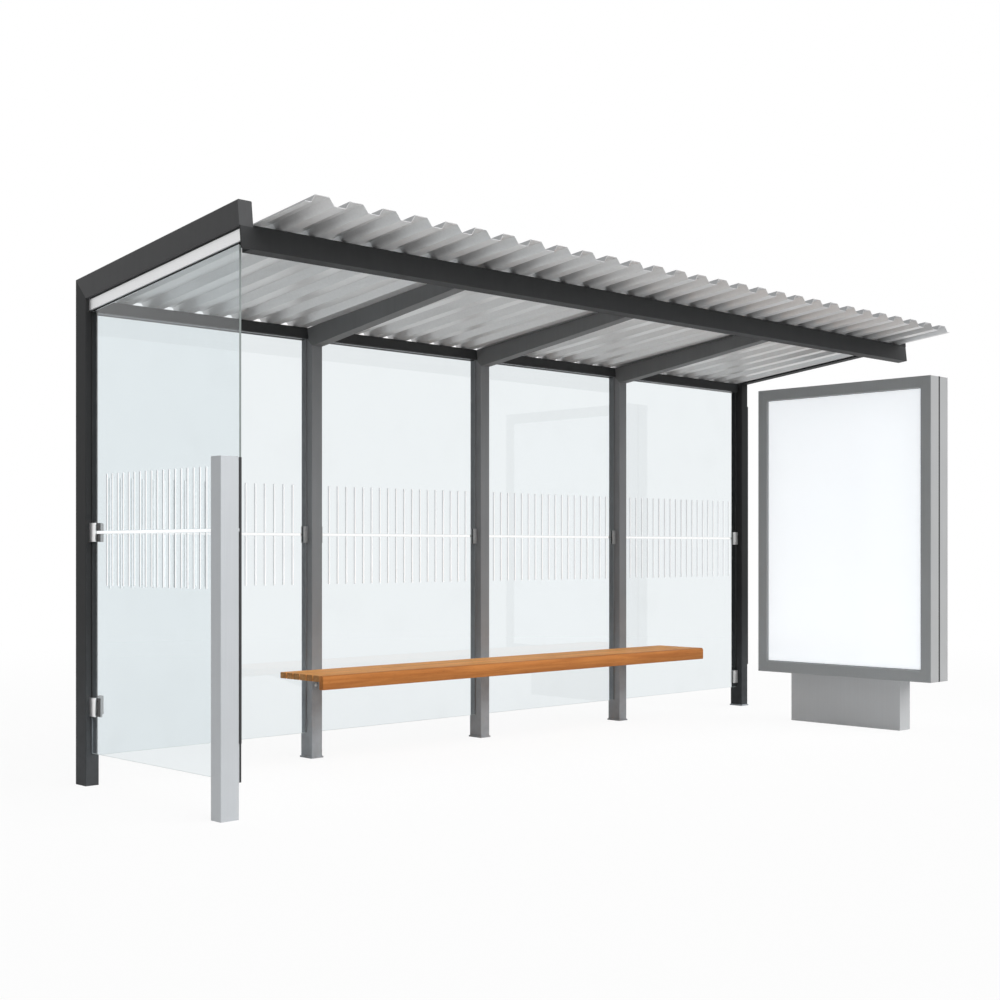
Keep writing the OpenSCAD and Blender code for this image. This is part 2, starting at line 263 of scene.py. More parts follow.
class Nodes:
    """The node tree of a material or world, which short calls fill."""

    def __init__(self, owner):
        owner.use_nodes = True
        self.owner = owner
        self.tree = owner.node_tree
        self.tree.nodes.clear()

    def add(self, kind, settings=None, sockets=None, output=0):
        """Adds one node, sets its settings, fills its sockets with values or links, and gives one of its outputs."""
        node = self.tree.nodes.new("ShaderNode" + kind)
        for key, value in (settings or {}).items():
            setattr(node, key, value)
        for key, value in (sockets or {}).items():
            if isinstance(value, Tone):
                self.tree.links.new(value.socket, node.inputs[key])
            else:
                node.inputs[key].default_value = value
        return Tone(self, node.outputs[output])

    def place(self):
        return self.add("TexCoord", output="Object")

    def part(self, vector, axis):
        return self.add("SeparateXYZ", {}, {0: vector}, output=axis)

    def scaled(self, vector, scale):
        return self.add("Mapping", {}, {"Vector": vector, "Scale": scale})

    def noise(self, vector, scale, detail=2.0, roughness=0.5, distortion=0.0):
        sockets = {"Vector": vector, "Scale": scale, "Detail": detail}
        return self.add("TexNoise", {}, {**sockets, "Roughness": roughness, "Distortion": distortion})

    def ramp(self, value, low, high, to_low=0.0, to_high=1.0):
        """Smooth step: to_low where the value is at low, to_high where it is at high."""
        settings = {"interpolation_type": "SMOOTHSTEP"}
        return self.add("MapRange", settings, {0: value, 1: low, 2: high, 3: to_low, 4: to_high})

    def shaded(self, colour, tone):
        """A colour times a tone."""
        return self.add("VectorMath", {"operation": "SCALE"}, {0: colour, "Scale": tone})

    def blend(self, factor, first, second):
        """From the first colour to the second as the factor goes from 0 to 1."""
        return self.add("Mix", {"data_type": "RGBA"}, {0: factor, 6: first, 7: second}, output=2)

    def bump(self, height, distance, strength=1.0):
        return self.add("Bump", {}, {"Height": height, "Distance": distance, "Strength": strength})

    def finish(self, shader, kind="OutputMaterial"):
        """Links a shader to the output, and gives the finished material or world."""
        out = self.tree.nodes.new("ShaderNode" + kind)
        self.tree.links.new(shader.socket, out.inputs["Surface"])
        return self.owner

    def coat(self, sockets):
        """A finish of one Principled shader."""
        return self.finish(self.add("BsdfPrincipled", {}, sockets))


def new_finish(name):
    """Nodes of a new material, and the Object coordinates that its patterns read."""
    n = Nodes(bpy.data.materials.new(name))
    return n, n.place()


def rgba(colour):
    return tuple(colour) + (1.0,)


PALE_DUST_AND_FLOOR_LIGHT = (0.52, 0.565, 0.61, 1.0)


def powder_coat(name, colour, roughness, dust_and_floor_light, shine):
    """Powder coat: peel of a millimetre or so, a cloudy tone, faint rain streaks down the faces, and a paler foot that
    is partly road dust and partly painted light from the floor."""
    n, place = new_finish(name)
    cloud = n.noise(place, 1.9, detail=4)
    streak = n.noise(n.scaled(place, (46, 46, 1.3)), 1.0, detail=3)
    peel = n.noise(place, 520, detail=2)
    grit = n.noise(place, 11, detail=6, roughness=0.65)
    # paler foot: road dust, and where strong, as on the middle posts, painted light from the floor
    foot = n.ramp(n.part(place, "Z"), 0.9, 0.0) * n.ramp(grit, 0.2, 0.75, 0.4, 0.8) * dust_and_floor_light
    tone = 0.8 + 0.26 * cloud + 0.14 * streak
    colour = n.blend(foot, n.shaded(colour, tone), PALE_DUST_AND_FLOOR_LIGHT)
    rough = roughness - 0.06 + 0.12 * cloud + 0.25 * foot
    return n.coat({
        "Base Color": colour, "Roughness": rough, "Specular IOR Level": shine,
        "Normal": n.bump(peel, 0.25 * MM, 0.35),
    })


def rib_masks(n, place):
    """Two masks on the sheet. The first is 1 on its upper side and 0 underneath: the height over the roof seat, less
    that of the rib profile's underside at that x. The second is painted shade: 0 under the troughs and rising inside
    the ribs from the front edge to the front beam."""
    low, high = span("roof_sheet")
    front = span("middle_post_1")[0][1]
    x, y, z = (n.part(place, axis) for axis in "XYZ")
    turn = n.add("Math", {"operation": "FRACT"}, {0: (x - float(low[0])) / (float(high[0] - low[0]) / RIB_COUNT)})
    from_crest = abs(turn - 0.5)
    foot = 0.5 - TROUGH_SHARE / 2
    under = n.add("MapRange", {}, {0: from_crest, 1: foot - WEB_SHARE, 2: foot, 3: RIB_H, 4: 0.0})
    rise, run = z - ROOF_SEAT, y - float(front)
    above = rise * math.cos(ROOF_FALL) + run * math.sin(ROOF_FALL)
    along = run * math.cos(ROOF_FALL) - rise * math.sin(ROOF_FALL)
    inside = n.ramp(under, 0.0, 0.6 * RIB_H)
    before = n.ramp(along, -ROOF_REACH + 40 * MM, -ROOF_REACH + 30 * MM)
    sheltered = n.ramp(along, -SHEET_FRONT, -ROOF_REACH, 0.15, 1.0)
    return n.ramp(above - under, 0.3 * SHEET_T, 0.7 * SHEET_T), inside * before * sheltered


def coil_coat(name, backing, top):
    """Coated sheet, pale underneath: fine zinc spangle under the paint, wash marks along the slope, a little dirt in
    patches, and painted shade inside the ribs over the front beam."""
    n, place = new_finish(name)
    upper, rib_shade = rib_masks(n, place)
    colour = n.blend(upper, rgba(backing), rgba(top))
    spangle = n.add("TexVoronoi", {}, {"Vector": place, "Scale": 85.0})
    wash = n.noise(n.scaled(place, (34, 0.9, 34)), 1.0, detail=4)
    patch = n.noise(place, 2.6, detail=5, roughness=0.6)
    # painted shade: the underside darkens inside the ribs towards the front beam
    tone = (0.83 + 0.16 * wash + 0.12 * patch + 0.06 * spangle) * (1.0 - 0.31 * rib_shade * (1.0 - upper))
    soil = n.ramp(patch * wash, 0.28, 0.5) * 0.16
    return n.coat({
        "Base Color": n.blend(soil, n.shaded(colour, tone), (0.32, 0.325, 0.33, 1)),
        "Metallic": 0.4 - 0.2 * upper,
        "Roughness": 0.28 + 0.12 * patch + 0.06 * spangle + 0.1 * upper,
        "Normal": n.bump(n.noise(place, 320, detail=2), 0.2 * MM, 0.3),
    })


def satin_metal(name, colour, along, metallic=0.35, roughness=0.36, line=0.5):
    """Satin metal: hair lines along one axis, soft cloudy anodising, and slightly duller handling marks."""
    n, place = new_finish(name)
    scale = [520.0] * 3
    scale[along] = 2.2
    hair = n.noise(n.scaled(place, scale), 1.0, detail=3, roughness=0.6)
    cloud = n.noise(place, 2.3, detail=3)
    marks = n.ramp(n.noise(place, 14, detail=5), 0.56, 0.74)
    tone = 0.84 + 0.18 * hair + 0.14 * cloud
    return n.coat({
        "Base Color": n.shaded(colour, tone),
        "Metallic": metallic,
        "Roughness": roughness + 0.1 * cloud + 0.08 * marks,
        "Normal": n.bump(hair, 0.06 * MM, line),
    })


def oiled_board(name, pale, deep, low, high, end_dark, top_light):
    """Oiled hardwood along x between two corners: long streaks, finer fibre, short dark pores, darker end grain, paler
    towards the top as painted light, and a tone and shift of its own for each board."""
    n, here = new_finish(name)
    shift = n.add("Attribute", {"attribute_name": "grain_shift"}, output="Vector")
    own = n.add("Attribute", {"attribute_name": "board_tone"}, output="Fac")
    place = n.add("VectorMath", {"operation": "ADD"}, {0: here, 1: shift})
    streak = n.noise(n.scaled(place, (1.1, 26, 26)), 1.6, detail=5, roughness=0.6, distortion=0.7)
    fibre = n.noise(n.scaled(place, (7, 430, 430)), 1.0, detail=3)
    pores = n.ramp(n.noise(n.scaled(place, (28, 900, 900)), 1.0, detail=1), 0.62, 0.78)
    mix = n.ramp(streak, 0.3, 0.7)
    middle, half = float(high[0] + low[0]) / 2, float(high[0] - low[0]) / 2
    end_grain = n.ramp(abs(n.part(here, "X") - middle), half - 3 * MM, half - 1 * MM)
    # painted light: the board grows paler towards its top
    painted_top_light = n.ramp(n.part(here, "Z"), float(low[2]), float(high[2]), 1.0 - top_light, 1.0 + top_light)
    tone = (0.86 + 0.22 * fibre) * own * painted_top_light * (1.0 - end_dark * end_grain)
    colour = n.shaded(n.blend(mix, rgba(pale), rgba(deep)), tone)
    colour = n.blend(pores * 0.55, colour, (0.11, 0.04, 0.014, 1))
    return n.coat({
        "Base Color": colour,
        "Roughness": 0.5 + 0.16 * fibre + 0.1 * pores,
        "Specular IOR Level": 0.2,
        "Normal": n.bump(fibre - 0.8 * pores, 0.22 * MM, 0.45),
    })


def clear_pane(name, tint):
    """Toughened glass: clear with a faint blue-green tint, a slow roller wave in its faces, and lamps pass
    through it."""
    n, place = new_finish(name)
    wave = n.noise(n.scaled(place, (0.6, 0.6, 3.1)), 1.0, detail=1)
    haze = n.ramp(n.noise(place, 3.2, detail=5), 0.45, 0.8)
    glass = n.add("BsdfPrincipled", {}, {
        "Base Color": n.shaded(tint, 1.0 - 0.02 * haze),
        "Roughness": 0.004 + 0.01 * haze,
        "IOR": 1.45,
        "Specular IOR Level": 0.35,
        "Transmission Weight": 1.0,
        "Normal": n.bump(wave, 0.05 * MM, 0.1),
    })
    lamp_light = n.add("BsdfTransparent", {}, {"Color": rgba(tint)})
    is_lamp = n.add("LightPath", output="Is Shadow Ray")
    return n.finish(n.add("MixShader", {}, {0: is_lamp, 1: glass, 2: lamp_light}))


def enamel(name, colour, glow):
    """White ceramic print: dull, with a fine screen of dots, and a glow in its emission that is painted light, standing
    in for light through the glass behind it.
    """
    n, place = new_finish(name)
    dots = n.add("TexVoronoi", {}, {"Vector": place, "Scale": 700.0})
    cloud = n.noise(place, 6, detail=3)
    return n.coat({
        "Base Color": n.shaded(colour, 0.92 + 0.1 * cloud + 0.06 * dots),
        "Roughness": 0.5 + 0.1 * dots,
        "Emission Color": n.shaded(colour, 0.95 + 0.1 * cloud),
        "Emission Strength": glow,
        "Normal": n.bump(dots, 0.04 * MM, 0.4),
    })


def ground_edge(name, colour, glow):
    """Ground edge of a pane: pale and dull, with wheel marks along it, and a glow in its emission that is painted
    light, standing in for light through the glass.
    """
    n, place = new_finish(name)
    marks = n.noise(place, 90, detail=4)
    return n.coat({
        "Base Color": n.shaded(colour, 0.85 + 0.3 * marks),
        "Roughness": 0.45 + 0.2 * marks,
        "Emission Color": n.shaded(colour, 0.9 + 0.2 * marks),
        "Emission Strength": glow,
        "Normal": n.bump(marks, 0.05 * MM, 0.4),
    })


def rubber(name, dusty_below=0.0):
    """Black rubber: dull, with a fine bloom, and grey with dust below a height."""
    n, place = new_finish(name)
    bloom = n.noise(place, 60, detail=5)
    dust_and_floor_light = n.ramp(n.part(place, "Z"), dusty_below, dusty_below - 40 * MM) * (0.2 + 0.1 * bloom)
    return n.coat({
        "Base Color": n.blend(dust_and_floor_light, n.shaded((0.018, 0.018, 0.019), 0.6 + 0.9 * bloom), PALE_DUST_AND_FLOOR_LIGHT),
        "Roughness": 0.62 + 0.2 * bloom,
        "Normal": n.bump(n.noise(place, 1500), 0.05 * MM, 0.5),
    })


def zinc(name, colour):
    """Zinc-plated fasteners: a cloudy passivated film."""
    n, place = new_finish(name)
    film = n.noise(place, 240, detail=4)
    return n.coat({
        "Base Color": n.shaded(colour, 0.75 + 0.4 * film),
        "Metallic": 0.8,
        "Roughness": 0.3 + 0.2 * film,
        "Normal": n.bump(film, 0.05 * MM, 0.4),
    })


def lit_poster(name, colour, centre, half, glow):
    """Blank poster behind a pane, lit from inside: the glow falls off a little towards the border, and the paper has
    a faint mottle."""
    n, place = new_finish(name)
    across = abs(n.part(place, "Y") - centre[1]) / half[1]
    up = abs(n.part(place, "Z") - centre[2]) / half[2]
    border = n.ramp(across.most(up), 0.72, 1.0)
    mottle = n.noise(place, 5, detail=4)
    paper = n.shaded(colour, 0.97 + 0.05 * mottle)
    light = n.shaded(colour, 1.0 - 0.05 * border - 0.03 * mottle)
    return n.coat({
        "Base Color": paper,
        "Roughness": 0.12 + 0.05 * mottle,
        "Emission Color": light,
        "Emission Strength": glow,
    })


# Settings

def colour_setting(name, description, default):
    return bpy.props.FloatVectorProperty(
        name=name, description=description, default=default, subtype="COLOR", size=3, min=0.0, max=1.0)


def length_setting(name, description, default):
    return bpy.props.FloatProperty(name=name, description=description, default=default, min=0.0, unit="LENGTH")


def angle_setting(name, description, degrees):
    return bpy.props.FloatProperty(
        name=name, description=description, default=math.radians(degrees), unit="ROTATION")


def glow_setting(name, description, default):
    return bpy.props.FloatProperty(name=name, description=description, default=default, min=0.0, max=2.0)


class ShelterFinishes(bpy.types.PropertyGroup):
    """Colours of the shelter's finishes"""

    dark_steel: colour_setting("Dark steel", "Coat of the left post, front and rear beams", (0.041, 0.042, 0.043))
    # painted shade: a darker copy of the dark steel
    right_shaded_steel: colour_setting("Right frame", "Powder coat of the right post and side beam", (0.027, 0.0275, 0.028))
    # painted light: a lighter copy of the dark steel
    side_beam_lit_steel: colour_setting("Left side beam", "Powder coat of the left side beam", (0.062, 0.063, 0.065))
    arm_steel: colour_setting("Roof arms", "Powder coat of the roof arms", (0.158, 0.161, 0.163))
    post_steel: colour_setting("Middle posts", "Powder coat of the three middle posts", (0.215, 0.220, 0.225))
    sheet: colour_setting("Roof underside", "Backing coat under the ribbed sheet", (0.70, 0.70, 0.70))
    sheet_top: colour_setting("Roof top", "Coating on top of the ribbed sheet", (0.46, 0.47, 0.48))
    aluminium: colour_setting("Corner post", "Satin corner post", (0.49, 0.51, 0.53))
    # painted light: the channel's aluminium is a much lighter copy of the corner post's, lighting it under the side
    # beam
    channel: colour_setting("Channel", "Satin channel of the side pane", (0.83, 0.835, 0.84))
    side_clamp: colour_setting("Bright clamps", "Brushed clamps of the side pane", (0.90, 0.90, 0.90))
    right_clamp: colour_setting("Right clamps", "Brushed clamps on the right post", (0.50, 0.50, 0.50))
    rear_clamp: colour_setting("Grey clamps", "Clamps on the other posts", (0.29, 0.293, 0.296))
    case: colour_setting("Poster case", "Satin doors of the case", (0.405, 0.41, 0.415))
    case_face: colour_setting("Face frames", "Satin face frames of the case", (0.34, 0.353, 0.36))
    pedestal: colour_setting("Pedestal", "Satin pedestal of the case", (0.525, 0.535, 0.545))
    glass: colour_setting("Glass", "Tint of the panes", (0.85, 0.89, 0.905))
    print_white: colour_setting("Print", "Ceramic stripes on the panes", (0.705, 0.72, 0.73))
    # painted shadow: the dark line beside each printed stripe
    painted_shadow_line: colour_setting("Print line", "Dark line beside each stripe", (0.39, 0.42, 0.43))
    pane_edge: colour_setting("Pane edges", "Ground edges of the panes", (0.36, 0.40, 0.39))
    front_edge: colour_setting("Front edge", "Front edge of the upper side pane", (0.19, 0.215, 0.21))
    # Seat and front board are one hardwood: the seat's colours are a lit copy and the front board's a shaded copy,
    # painted light and shade.
    seat_pale_lit: colour_setting("Pale seat wood", "Light streaks of the seat boards", (0.90, 0.435, 0.145))
    seat_deep_lit: colour_setting("Deep seat wood", "Dark streaks of the seat boards", (0.655, 0.285, 0.083))
    front_pale_shaded: colour_setting("Pale front wood", "Light streaks of the front board", (0.47, 0.177, 0.042))
    front_deep_shaded: colour_setting("Deep front wood", "Dark streaks of the front board", (0.35, 0.118, 0.0245))
    poster: colour_setting("Poster", "Blank poster sheet", (0.93, 0.96, 0.99))
    glow: glow_setting("Poster glow", "Light from behind the poster", 0.5)
    # The glows of the prints, their dark lines and the panes' edges are painted light: emission that stands in for
    # light through the glass.
    rear_print_glow: glow_setting("Rear print glow", "Light through the rear panes' print", 0.5)
    side_print_glow: glow_setting("Side print glow", "Light through the side panes' print", 0.92)
    rear_shadow_line_glow: glow_setting("Rear line glow", "Light through the rear print's lines", 0.3)
    side_shadow_line_glow: glow_setting("Side line glow", "Light through the side print's lines", 0.1)
    edge_glow: glow_setting("Edge glow", "Light through the panes' edges", 0.4)


class ShelterFittings(bpy.types.PropertyGroup):
    """Sizes of the prints and of the small fittings"""

    rear_pitch: length_setting("Rear stripe pitch", "Distance from one rear stripe to the next", 60.5 * MM)
    side_pitch: length_setting("Side stripe pitch", "Distance from one side stripe to the next", 50 * MM)
    stripe_width: length_setting("Stripe width", "Width of a printed stripe", 10 * MM)
    # painted shadow: width of the dark line beside a stripe
    line_width: length_setting("Line width", "Width of the dark line beside a stripe", 5.4 * MM)
    rear_low: length_setting("Rear stripe foot", "Height of the rear stripes' lower ends", 0.945)
    rear_high: length_setting("Rear stripe top", "Height of the rear stripes' upper ends", 1.487)
    side_low: length_setting("Side stripe foot", "Height of the side stripes' lower ends", 0.965)
    side_high: length_setting("Side stripe top", "Height of the side stripes' upper ends", 1.494)
    rear_margin: length_setting("Rear margin", "Least distance of a stripe from a rear pane's edge", 62 * MM)
    side_margin: length_setting("Side margin", "Least distance of a stripe from a side pane's edge", 125 * MM)
    print_t: length_setting("Print thickness", "Thickness of the ceramic print", 0.3 * MM)
    weld: length_setting("Weld", "Leg of the fillet weld on a base plate", 3 * MM)
    face_proud: length_setting("Face frame", "Height of a face frame above its door", 3.6 * MM)
    face_width: length_setting("Face frame width", "Width of a face frame up to its bevel", 69 * MM)


class ShelterStage(bpy.types.PropertyGroup):
    """Camera, lamps and floor"""

    camera_place: bpy.props.FloatVectorProperty(
        name="Camera", description="Place of the camera", default=(-6.0980, -5.5833, 1.1336), subtype="XYZ",
        unit="LENGTH")
    heading: angle_setting("Heading", "Turn of the level camera from the shelter's depth", -44.175)
    lens: bpy.props.FloatProperty(name="Lens", description="Focal length", default=52.857, unit="CAMERA")
    rise: bpy.props.FloatProperty(name="Rise", description="Upward shift of the view", default=0.05)
    sky: bpy.props.FloatProperty(name="Sky", description="Light from all round", default=0.20, min=0.0)
    key: bpy.props.FloatProperty(name="Key", description="Strength of the soft key lamp", default=2.7, min=0.0)
    key_spread: angle_setting("Key spread", "Angle that the key lamp fills", 70)
    key_tilt: angle_setting("Key tilt", "Tilt of the key lamp from straight down", 48)
    key_turn: angle_setting("Key turn", "Turn of the key lamp round the height", 14)
    floor: colour_setting("Floor", "Colour of the plain floor", (0.93, 0.93, 0.93))
    shadow_share: bpy.props.FloatProperty(
        name="Shadow", description="Share of the lamps' light in what the camera sees of the floor", default=0.08,
        min=0.0, max=1.0, subtype="FACTOR")


# Pieces

POST_D, TUBE_R = 0.1, 4 * MM
# Sizes and heights of the dark strip of painted shade beside the right post, on this line.
STRIP_W, STRIP_BITE, STRIP_FOOT, STRIP_TOP = 14 * MM, 0.2 * MM, 0.30, 2.18
WELD_STEPS, WELD_RIPPLE = 240, 0.1


def build_steelwork(finishes, fittings):
    """Coats the posts and beams, lays a fillet weld round each post that stands on a plate, and sets a dark strip of
    painted shade beside the right post's front edge.
    """
    dark = powder_coat("dark_powder_coat", finishes.dark_steel, roughness=0.52, dust_and_floor_light=0.1, shine=0.1)
    # the right frame's coat is a darker, shaded copy of the dark steel and the left side beam's a lighter, lit copy:
    # painted shade and light
    right = powder_coat("right_shaded_coat", finishes.right_shaded_steel, roughness=0.52, dust_and_floor_light=0.1, shine=0.05)
    beam = powder_coat("side_beam_lit_coat", finishes.side_beam_lit_steel, roughness=0.45, dust_and_floor_light=0.0, shine=0.2)
    arm = powder_coat("arm_powder_coat", finishes.arm_steel, roughness=0.5, dust_and_floor_light=0.0, shine=0.12)
    # the middle posts' strong pale foot is mostly painted light from the floor
    grey = powder_coat("grey_powder_coat", finishes.post_steel, roughness=0.5, dust_and_floor_light=0.75, shine=0.14)
    dress(("left_rear_post", "front_beam", "glazing_bar") + REAR_BEAMS, dark)
    dress(("right_rear_post", "right_roof_beam"), right)
    dress(("left_roof_beam",), beam)
    dress(ROOF_ARMS, arm)
    dress(MIDDLE_POSTS + ("base_plates", "bench_brackets"), grey)
    add_piece("foot_welds", foot_welds(fittings.weld), grey)
    # painted shade: a dark strip beside the right post's front edge, over the poster case's height
    low, high = span("right_rear_post")
    front = low[1] + TUBE_R
    corners = (high[0] - STRIP_BITE, front, STRIP_FOOT), (high[0] + STRIP_W, front + STRIP_W, STRIP_TOP)
    add_piece("post_painted_shade_strip", block(*corners, edge=2 * MM), rubber("painted_shade_strip_rubber"))


def foot_welds(leg):
    """Fillet welds: a four-sided section carried round each post's foot, with ripples as small changes of its
    leg."""
    plate_top = span("middle_post_1")[0][2]
    welds = []
    for name in MIDDLE_POSTS + ("right_rear_post",):
        low, high = span(name)
        width = high[0] - low[0]
        outline = round_outline(width, POST_D, TUBE_R, 4)
        stations = np.linspace(0, 1, WELD_STEPS + 1)[:-1] * len(outline)
        path = along_outline(outline, stations)
        out = path / np.linalg.norm(path, axis=1, keepdims=True)
        reach = leg * (1 + WELD_RIPPLE * np.sin(np.arange(len(path)) * 1.9))[:, None]
        inner = path - out * MM
        outer = path + out * reach
        foot = np.full_like(reach, -0.4 * MM)
        section = np.stack([
            np.hstack([inner, foot]), np.hstack([outer, foot]),
            np.hstack([path + out * reach * 0.45, reach * 0.62]), np.hstack([inner, reach]),
        ], axis=1)
        centre = [low[0] + width / 2, low[1] + POST_D / 2, plate_top]
        welds.append(moved(hoop(section), centre))
    return joined(welds)


def along_outline(outline, stations):
    """Points on a closed outline at given stations, counted in corner points and fractions between them."""
    step = np.floor(stations).astype(int) % len(outline)
    share = (stations % 1)[:, None]
    return outline[step] * (1 - share) + outline[(step + 1) % len(outline)] * share


def build_roof(finishes):
    """Coats the sheet, laps its strips and drives a screw into every trough over the front and the rear beams."""
    coat = coil_coat("sheet_coat", finishes.sheet, finishes.sheet_top)
    dress(("roof_sheet",), coat)
    add_piece("sheet_laps", sheet_laps(), coat)
    add_piece("roof_screws", roof_screws(), zinc("roof_screw_zinc", (0.55, 0.55, 0.54)))


def sheet_laps():
    """Side laps: a thin strip over every sixth crest and half of its right web, carried along the slope."""
    low, high = span("roof_sheet")
    pitch = (high[0] - low[0]) / RIB_COUNT
    crest = np.array([TROUGH_SHARE / 2 + WEB_SHARE, 1 - TROUGH_SHARE / 2 - WEB_SHARE]) * pitch
    web = WEB_SHARE * pitch
    lap_t, seat = 1.2 * MM, RIB_H + SHEET_T - 0.3 * MM
    x = np.array([crest[0], crest[1], crest[1] + 0.5 * web])
    t = np.array([seat, seat, seat - 0.5 * RIB_H])
    outline = np.stack([np.concatenate([x, x[::-1]]), np.concatenate([t, t[::-1] + lap_t])], axis=-1)
    ends = np.array([-SHEET_FRONT + MM, SHEET_BACK - MM])
    laps = []
    for rib in LAP_RIBS:
        start = low[0] + rib * pitch
        sections = roof_points(start + outline[None, :, 0], ends[:, None], outline[None, :, 1])
        laps.append(loft(sections))
    return joined(laps)


FRONT_SCREWS, REAR_SCREWS = 33 * MM, 50 * MM
STITCH_FRONT, STITCH_BACK, STITCHES = 0.12, 0.08, 5


def roof_screws():
    """Sheet screws: a domed washer and a six-sided head, in every trough on two lines along the beams and on
    the laps."""
    low, high = span("roof_sheet")
    pitch = (high[0] - low[0]) / RIB_COUNT
    washer = turned([(8.5 * MM, -0.2 * MM), (8.5 * MM, 1.0 * MM), (6.5 * MM, 2.0 * MM), (4.5 * MM, 2.2 * MM)], 12)
    head = turned([(4.6 * MM, 1.8 * MM), (4.6 * MM, 6.4 * MM), (3.8 * MM, 7.2 * MM)], 6)
    screw = moved(joined([washer, head]), axes=ROOF_AXES)
    trough = low[0] + np.arange(1, RIB_COUNT) * pitch
    lines = np.array([-ROOF_REACH + FRONT_SCREWS, REAR_SCREWS])
    in_trough = roof_points(trough[None, :], lines[:, None], SHEET_T).reshape(-1, 3)
    crest = low[0] + (np.array(LAP_RIBS) + 0.5) * pitch
    stitch = np.linspace(-SHEET_FRONT + STITCH_FRONT, SHEET_BACK - STITCH_BACK, STITCHES)
    on_lap = roof_points(crest[None, :], stitch[:, None], SHEET_T + RIB_H + 0.9 * MM).reshape(-1, 3)
    return repeated(screw, np.concatenate([in_trough, on_lap]))


def build_glazing(finishes, fittings):
    """Clear panes with their ground edges, printed stripes with a dark line of painted shadow beside each, rubber
    seals, and a dark strip of painted shadow under the side beam.
    """
    pane = clear_pane("toughened_glass", finishes.glass)
    upper = ["rear_upper_glass_%d" % bay for bay in BAYS]
    lower = ["rear_lower_glass_%d" % bay for bay in BAYS]
    side = ["side_upper_glass", "side_lower_glass"]
    dress(upper + lower + side, pane)
    rear_ink = enamel("rear_ceramic_print", finishes.print_white, finishes.rear_print_glow)
    rear_shadow_line = enamel("rear_print_line", finishes.painted_shadow_line, finishes.rear_shadow_line_glow)
    side_ink = enamel("side_ceramic_print", finishes.print_white, finishes.side_print_glow)
    side_shadow_line = enamel("side_painted_shadow_line", finishes.painted_shadow_line, finishes.side_shadow_line_glow)
    width, line = fittings.stripe_width, fittings.line_width
    beside = (width + line) / 2
    panes = list(zip(upper, lower))
    rear_row = (0, fittings.rear_pitch, fittings.rear_margin, fittings.rear_low, fittings.rear_high)
    side_row = (1, fittings.side_pitch, fittings.side_margin, fittings.side_low, fittings.side_high)
    for bay, pair in zip(BAYS, panes):
        add_piece("rear_print_%d" % bay, stripes(pair, rear_row, width, 0.0, fittings), rear_ink)
    # painted shadow: a dark line beside each rear stripe
    lines = [stripes(pair, rear_row, line, -beside, fittings) for pair in panes]
    add_piece("rear_print_lines", joined(lines), rear_shadow_line)
    add_piece("side_print", stripes(side, side_row, width, 0.0, fittings), side_ink)
    # painted shadow: a dark line beside each side stripe
    add_piece("side_painted_shadow_lines", stripes(side, side_row, line, beside, fittings), side_shadow_line)
    edge = ground_edge("ground_glass_edge", finishes.pane_edge, finishes.edge_glow)
    add_piece("rear_pane_edges", pane_edges(upper, lower), edge)
    add_piece("side_pane_edges", pane_edges(side[:1], side[1:]), edge)
    # the front edge's glow is painted light as well
    add_piece("side_front_edge", front_edge(), ground_edge("dark_glass_edge", finishes.front_edge, 0.3))
    # the white joint profile shares the side print's glow, painted light
    add_piece("side_joint_profile", joint_profile(), side_ink)
    seal = rubber("glazing_rubber")
    # the channel's seal carries a dark strip of painted shadow under the side beam
    add_piece("channel_seal", joined([channel_seal(), channel_shadow_strip()]), seal)
    add_piece("post_seal", post_seal(), rubber("post_rubber", float(clamp_heights()[2])))
    add_piece("edge_guard", edge_guard(), seal)
    grey = powder_coat("grey_gasket", finishes.post_steel, roughness=0.5, dust_and_floor_light=0.0, shine=0.14)
    dark = powder_coat("dark_gasket", finishes.dark_steel, roughness=0.52, dust_and_floor_light=0.0, shine=0.1)
    add_piece("middle_post_gaskets", rear_gaskets(MIDDLE_POSTS), grey)
    add_piece("end_post_gaskets", rear_gaskets((POSTS[0], POSTS[-1])), dark)


SEAL_PROUD, SEAL_BITE = 0.3 * MM, 0.5 * MM
SEAL_EASE, SEAL_HEAD = 0.8 * MM, 70 * MM
EDGE_PROUD, EDGE_SUNK, EDGE_BACK = 0.35 * MM, 0.3 * MM, 0.2 * MM
CHANNEL_CLEAR, GUARD_T = 15 * MM, 1.2 * MM
LIP_W, LIP_D, LIP_R, LIP_OFF = 3 * MM, 5 * MM, 1.2 * MM, 1.4 * MM
# Sizes of the dark strip of painted shadow under the side beam.
SHADOW_STRIP_W, SHADOW_STRIP_D, SHADOW_STRIP_R, SHADOW_STRIP_END, SHADOW_STRIP_DROP = 2 * MM, 7 * MM, 0.6 * MM, 8 * MM, 3.6 * MM


def level_strip(pane, z0, z1):
    """Thin strip along a pane between two heights, set back a little from its faces and ends."""
    low, high = span(pane)
    return block((low[0] + EDGE_BACK, low[1] + EDGE_BACK, z0), (high[0] - EDGE_BACK, high[1] - EDGE_BACK, z1))


def pane_edges(upper, lower):
    """Ground edges that lie level: a strip along the foot of every pane and along the head of the lower ones."""
    feet = [(pane, span(pane)[0][2]) for pane in upper + lower]
    heads = [(pane, span(pane)[1][2]) for pane in lower]
    strips = [level_strip(pane, z - EDGE_PROUD, z + EDGE_SUNK) for pane, z in feet]
    strips += [level_strip(pane, z - EDGE_SUNK, z + EDGE_PROUD) for pane, z in heads]
    return joined(strips)


def front_edge():
    """Ground front edge of the upper side pane, from the corner post's top to the channel."""
    low, high = span("side_upper_glass")
    foot = span("corner_post")[1][2]
    top = ROOF_SEAT + ROOF_REACH * math.sin(ROOF_FALL) - SIDE_BEAM_DROP - CHANNEL_D - CHANNEL_CLEAR
    return block((low[0] + EDGE_BACK, low[1] - EDGE_PROUD, foot), (high[0] - EDGE_BACK, low[1] + EDGE_SUNK, top))


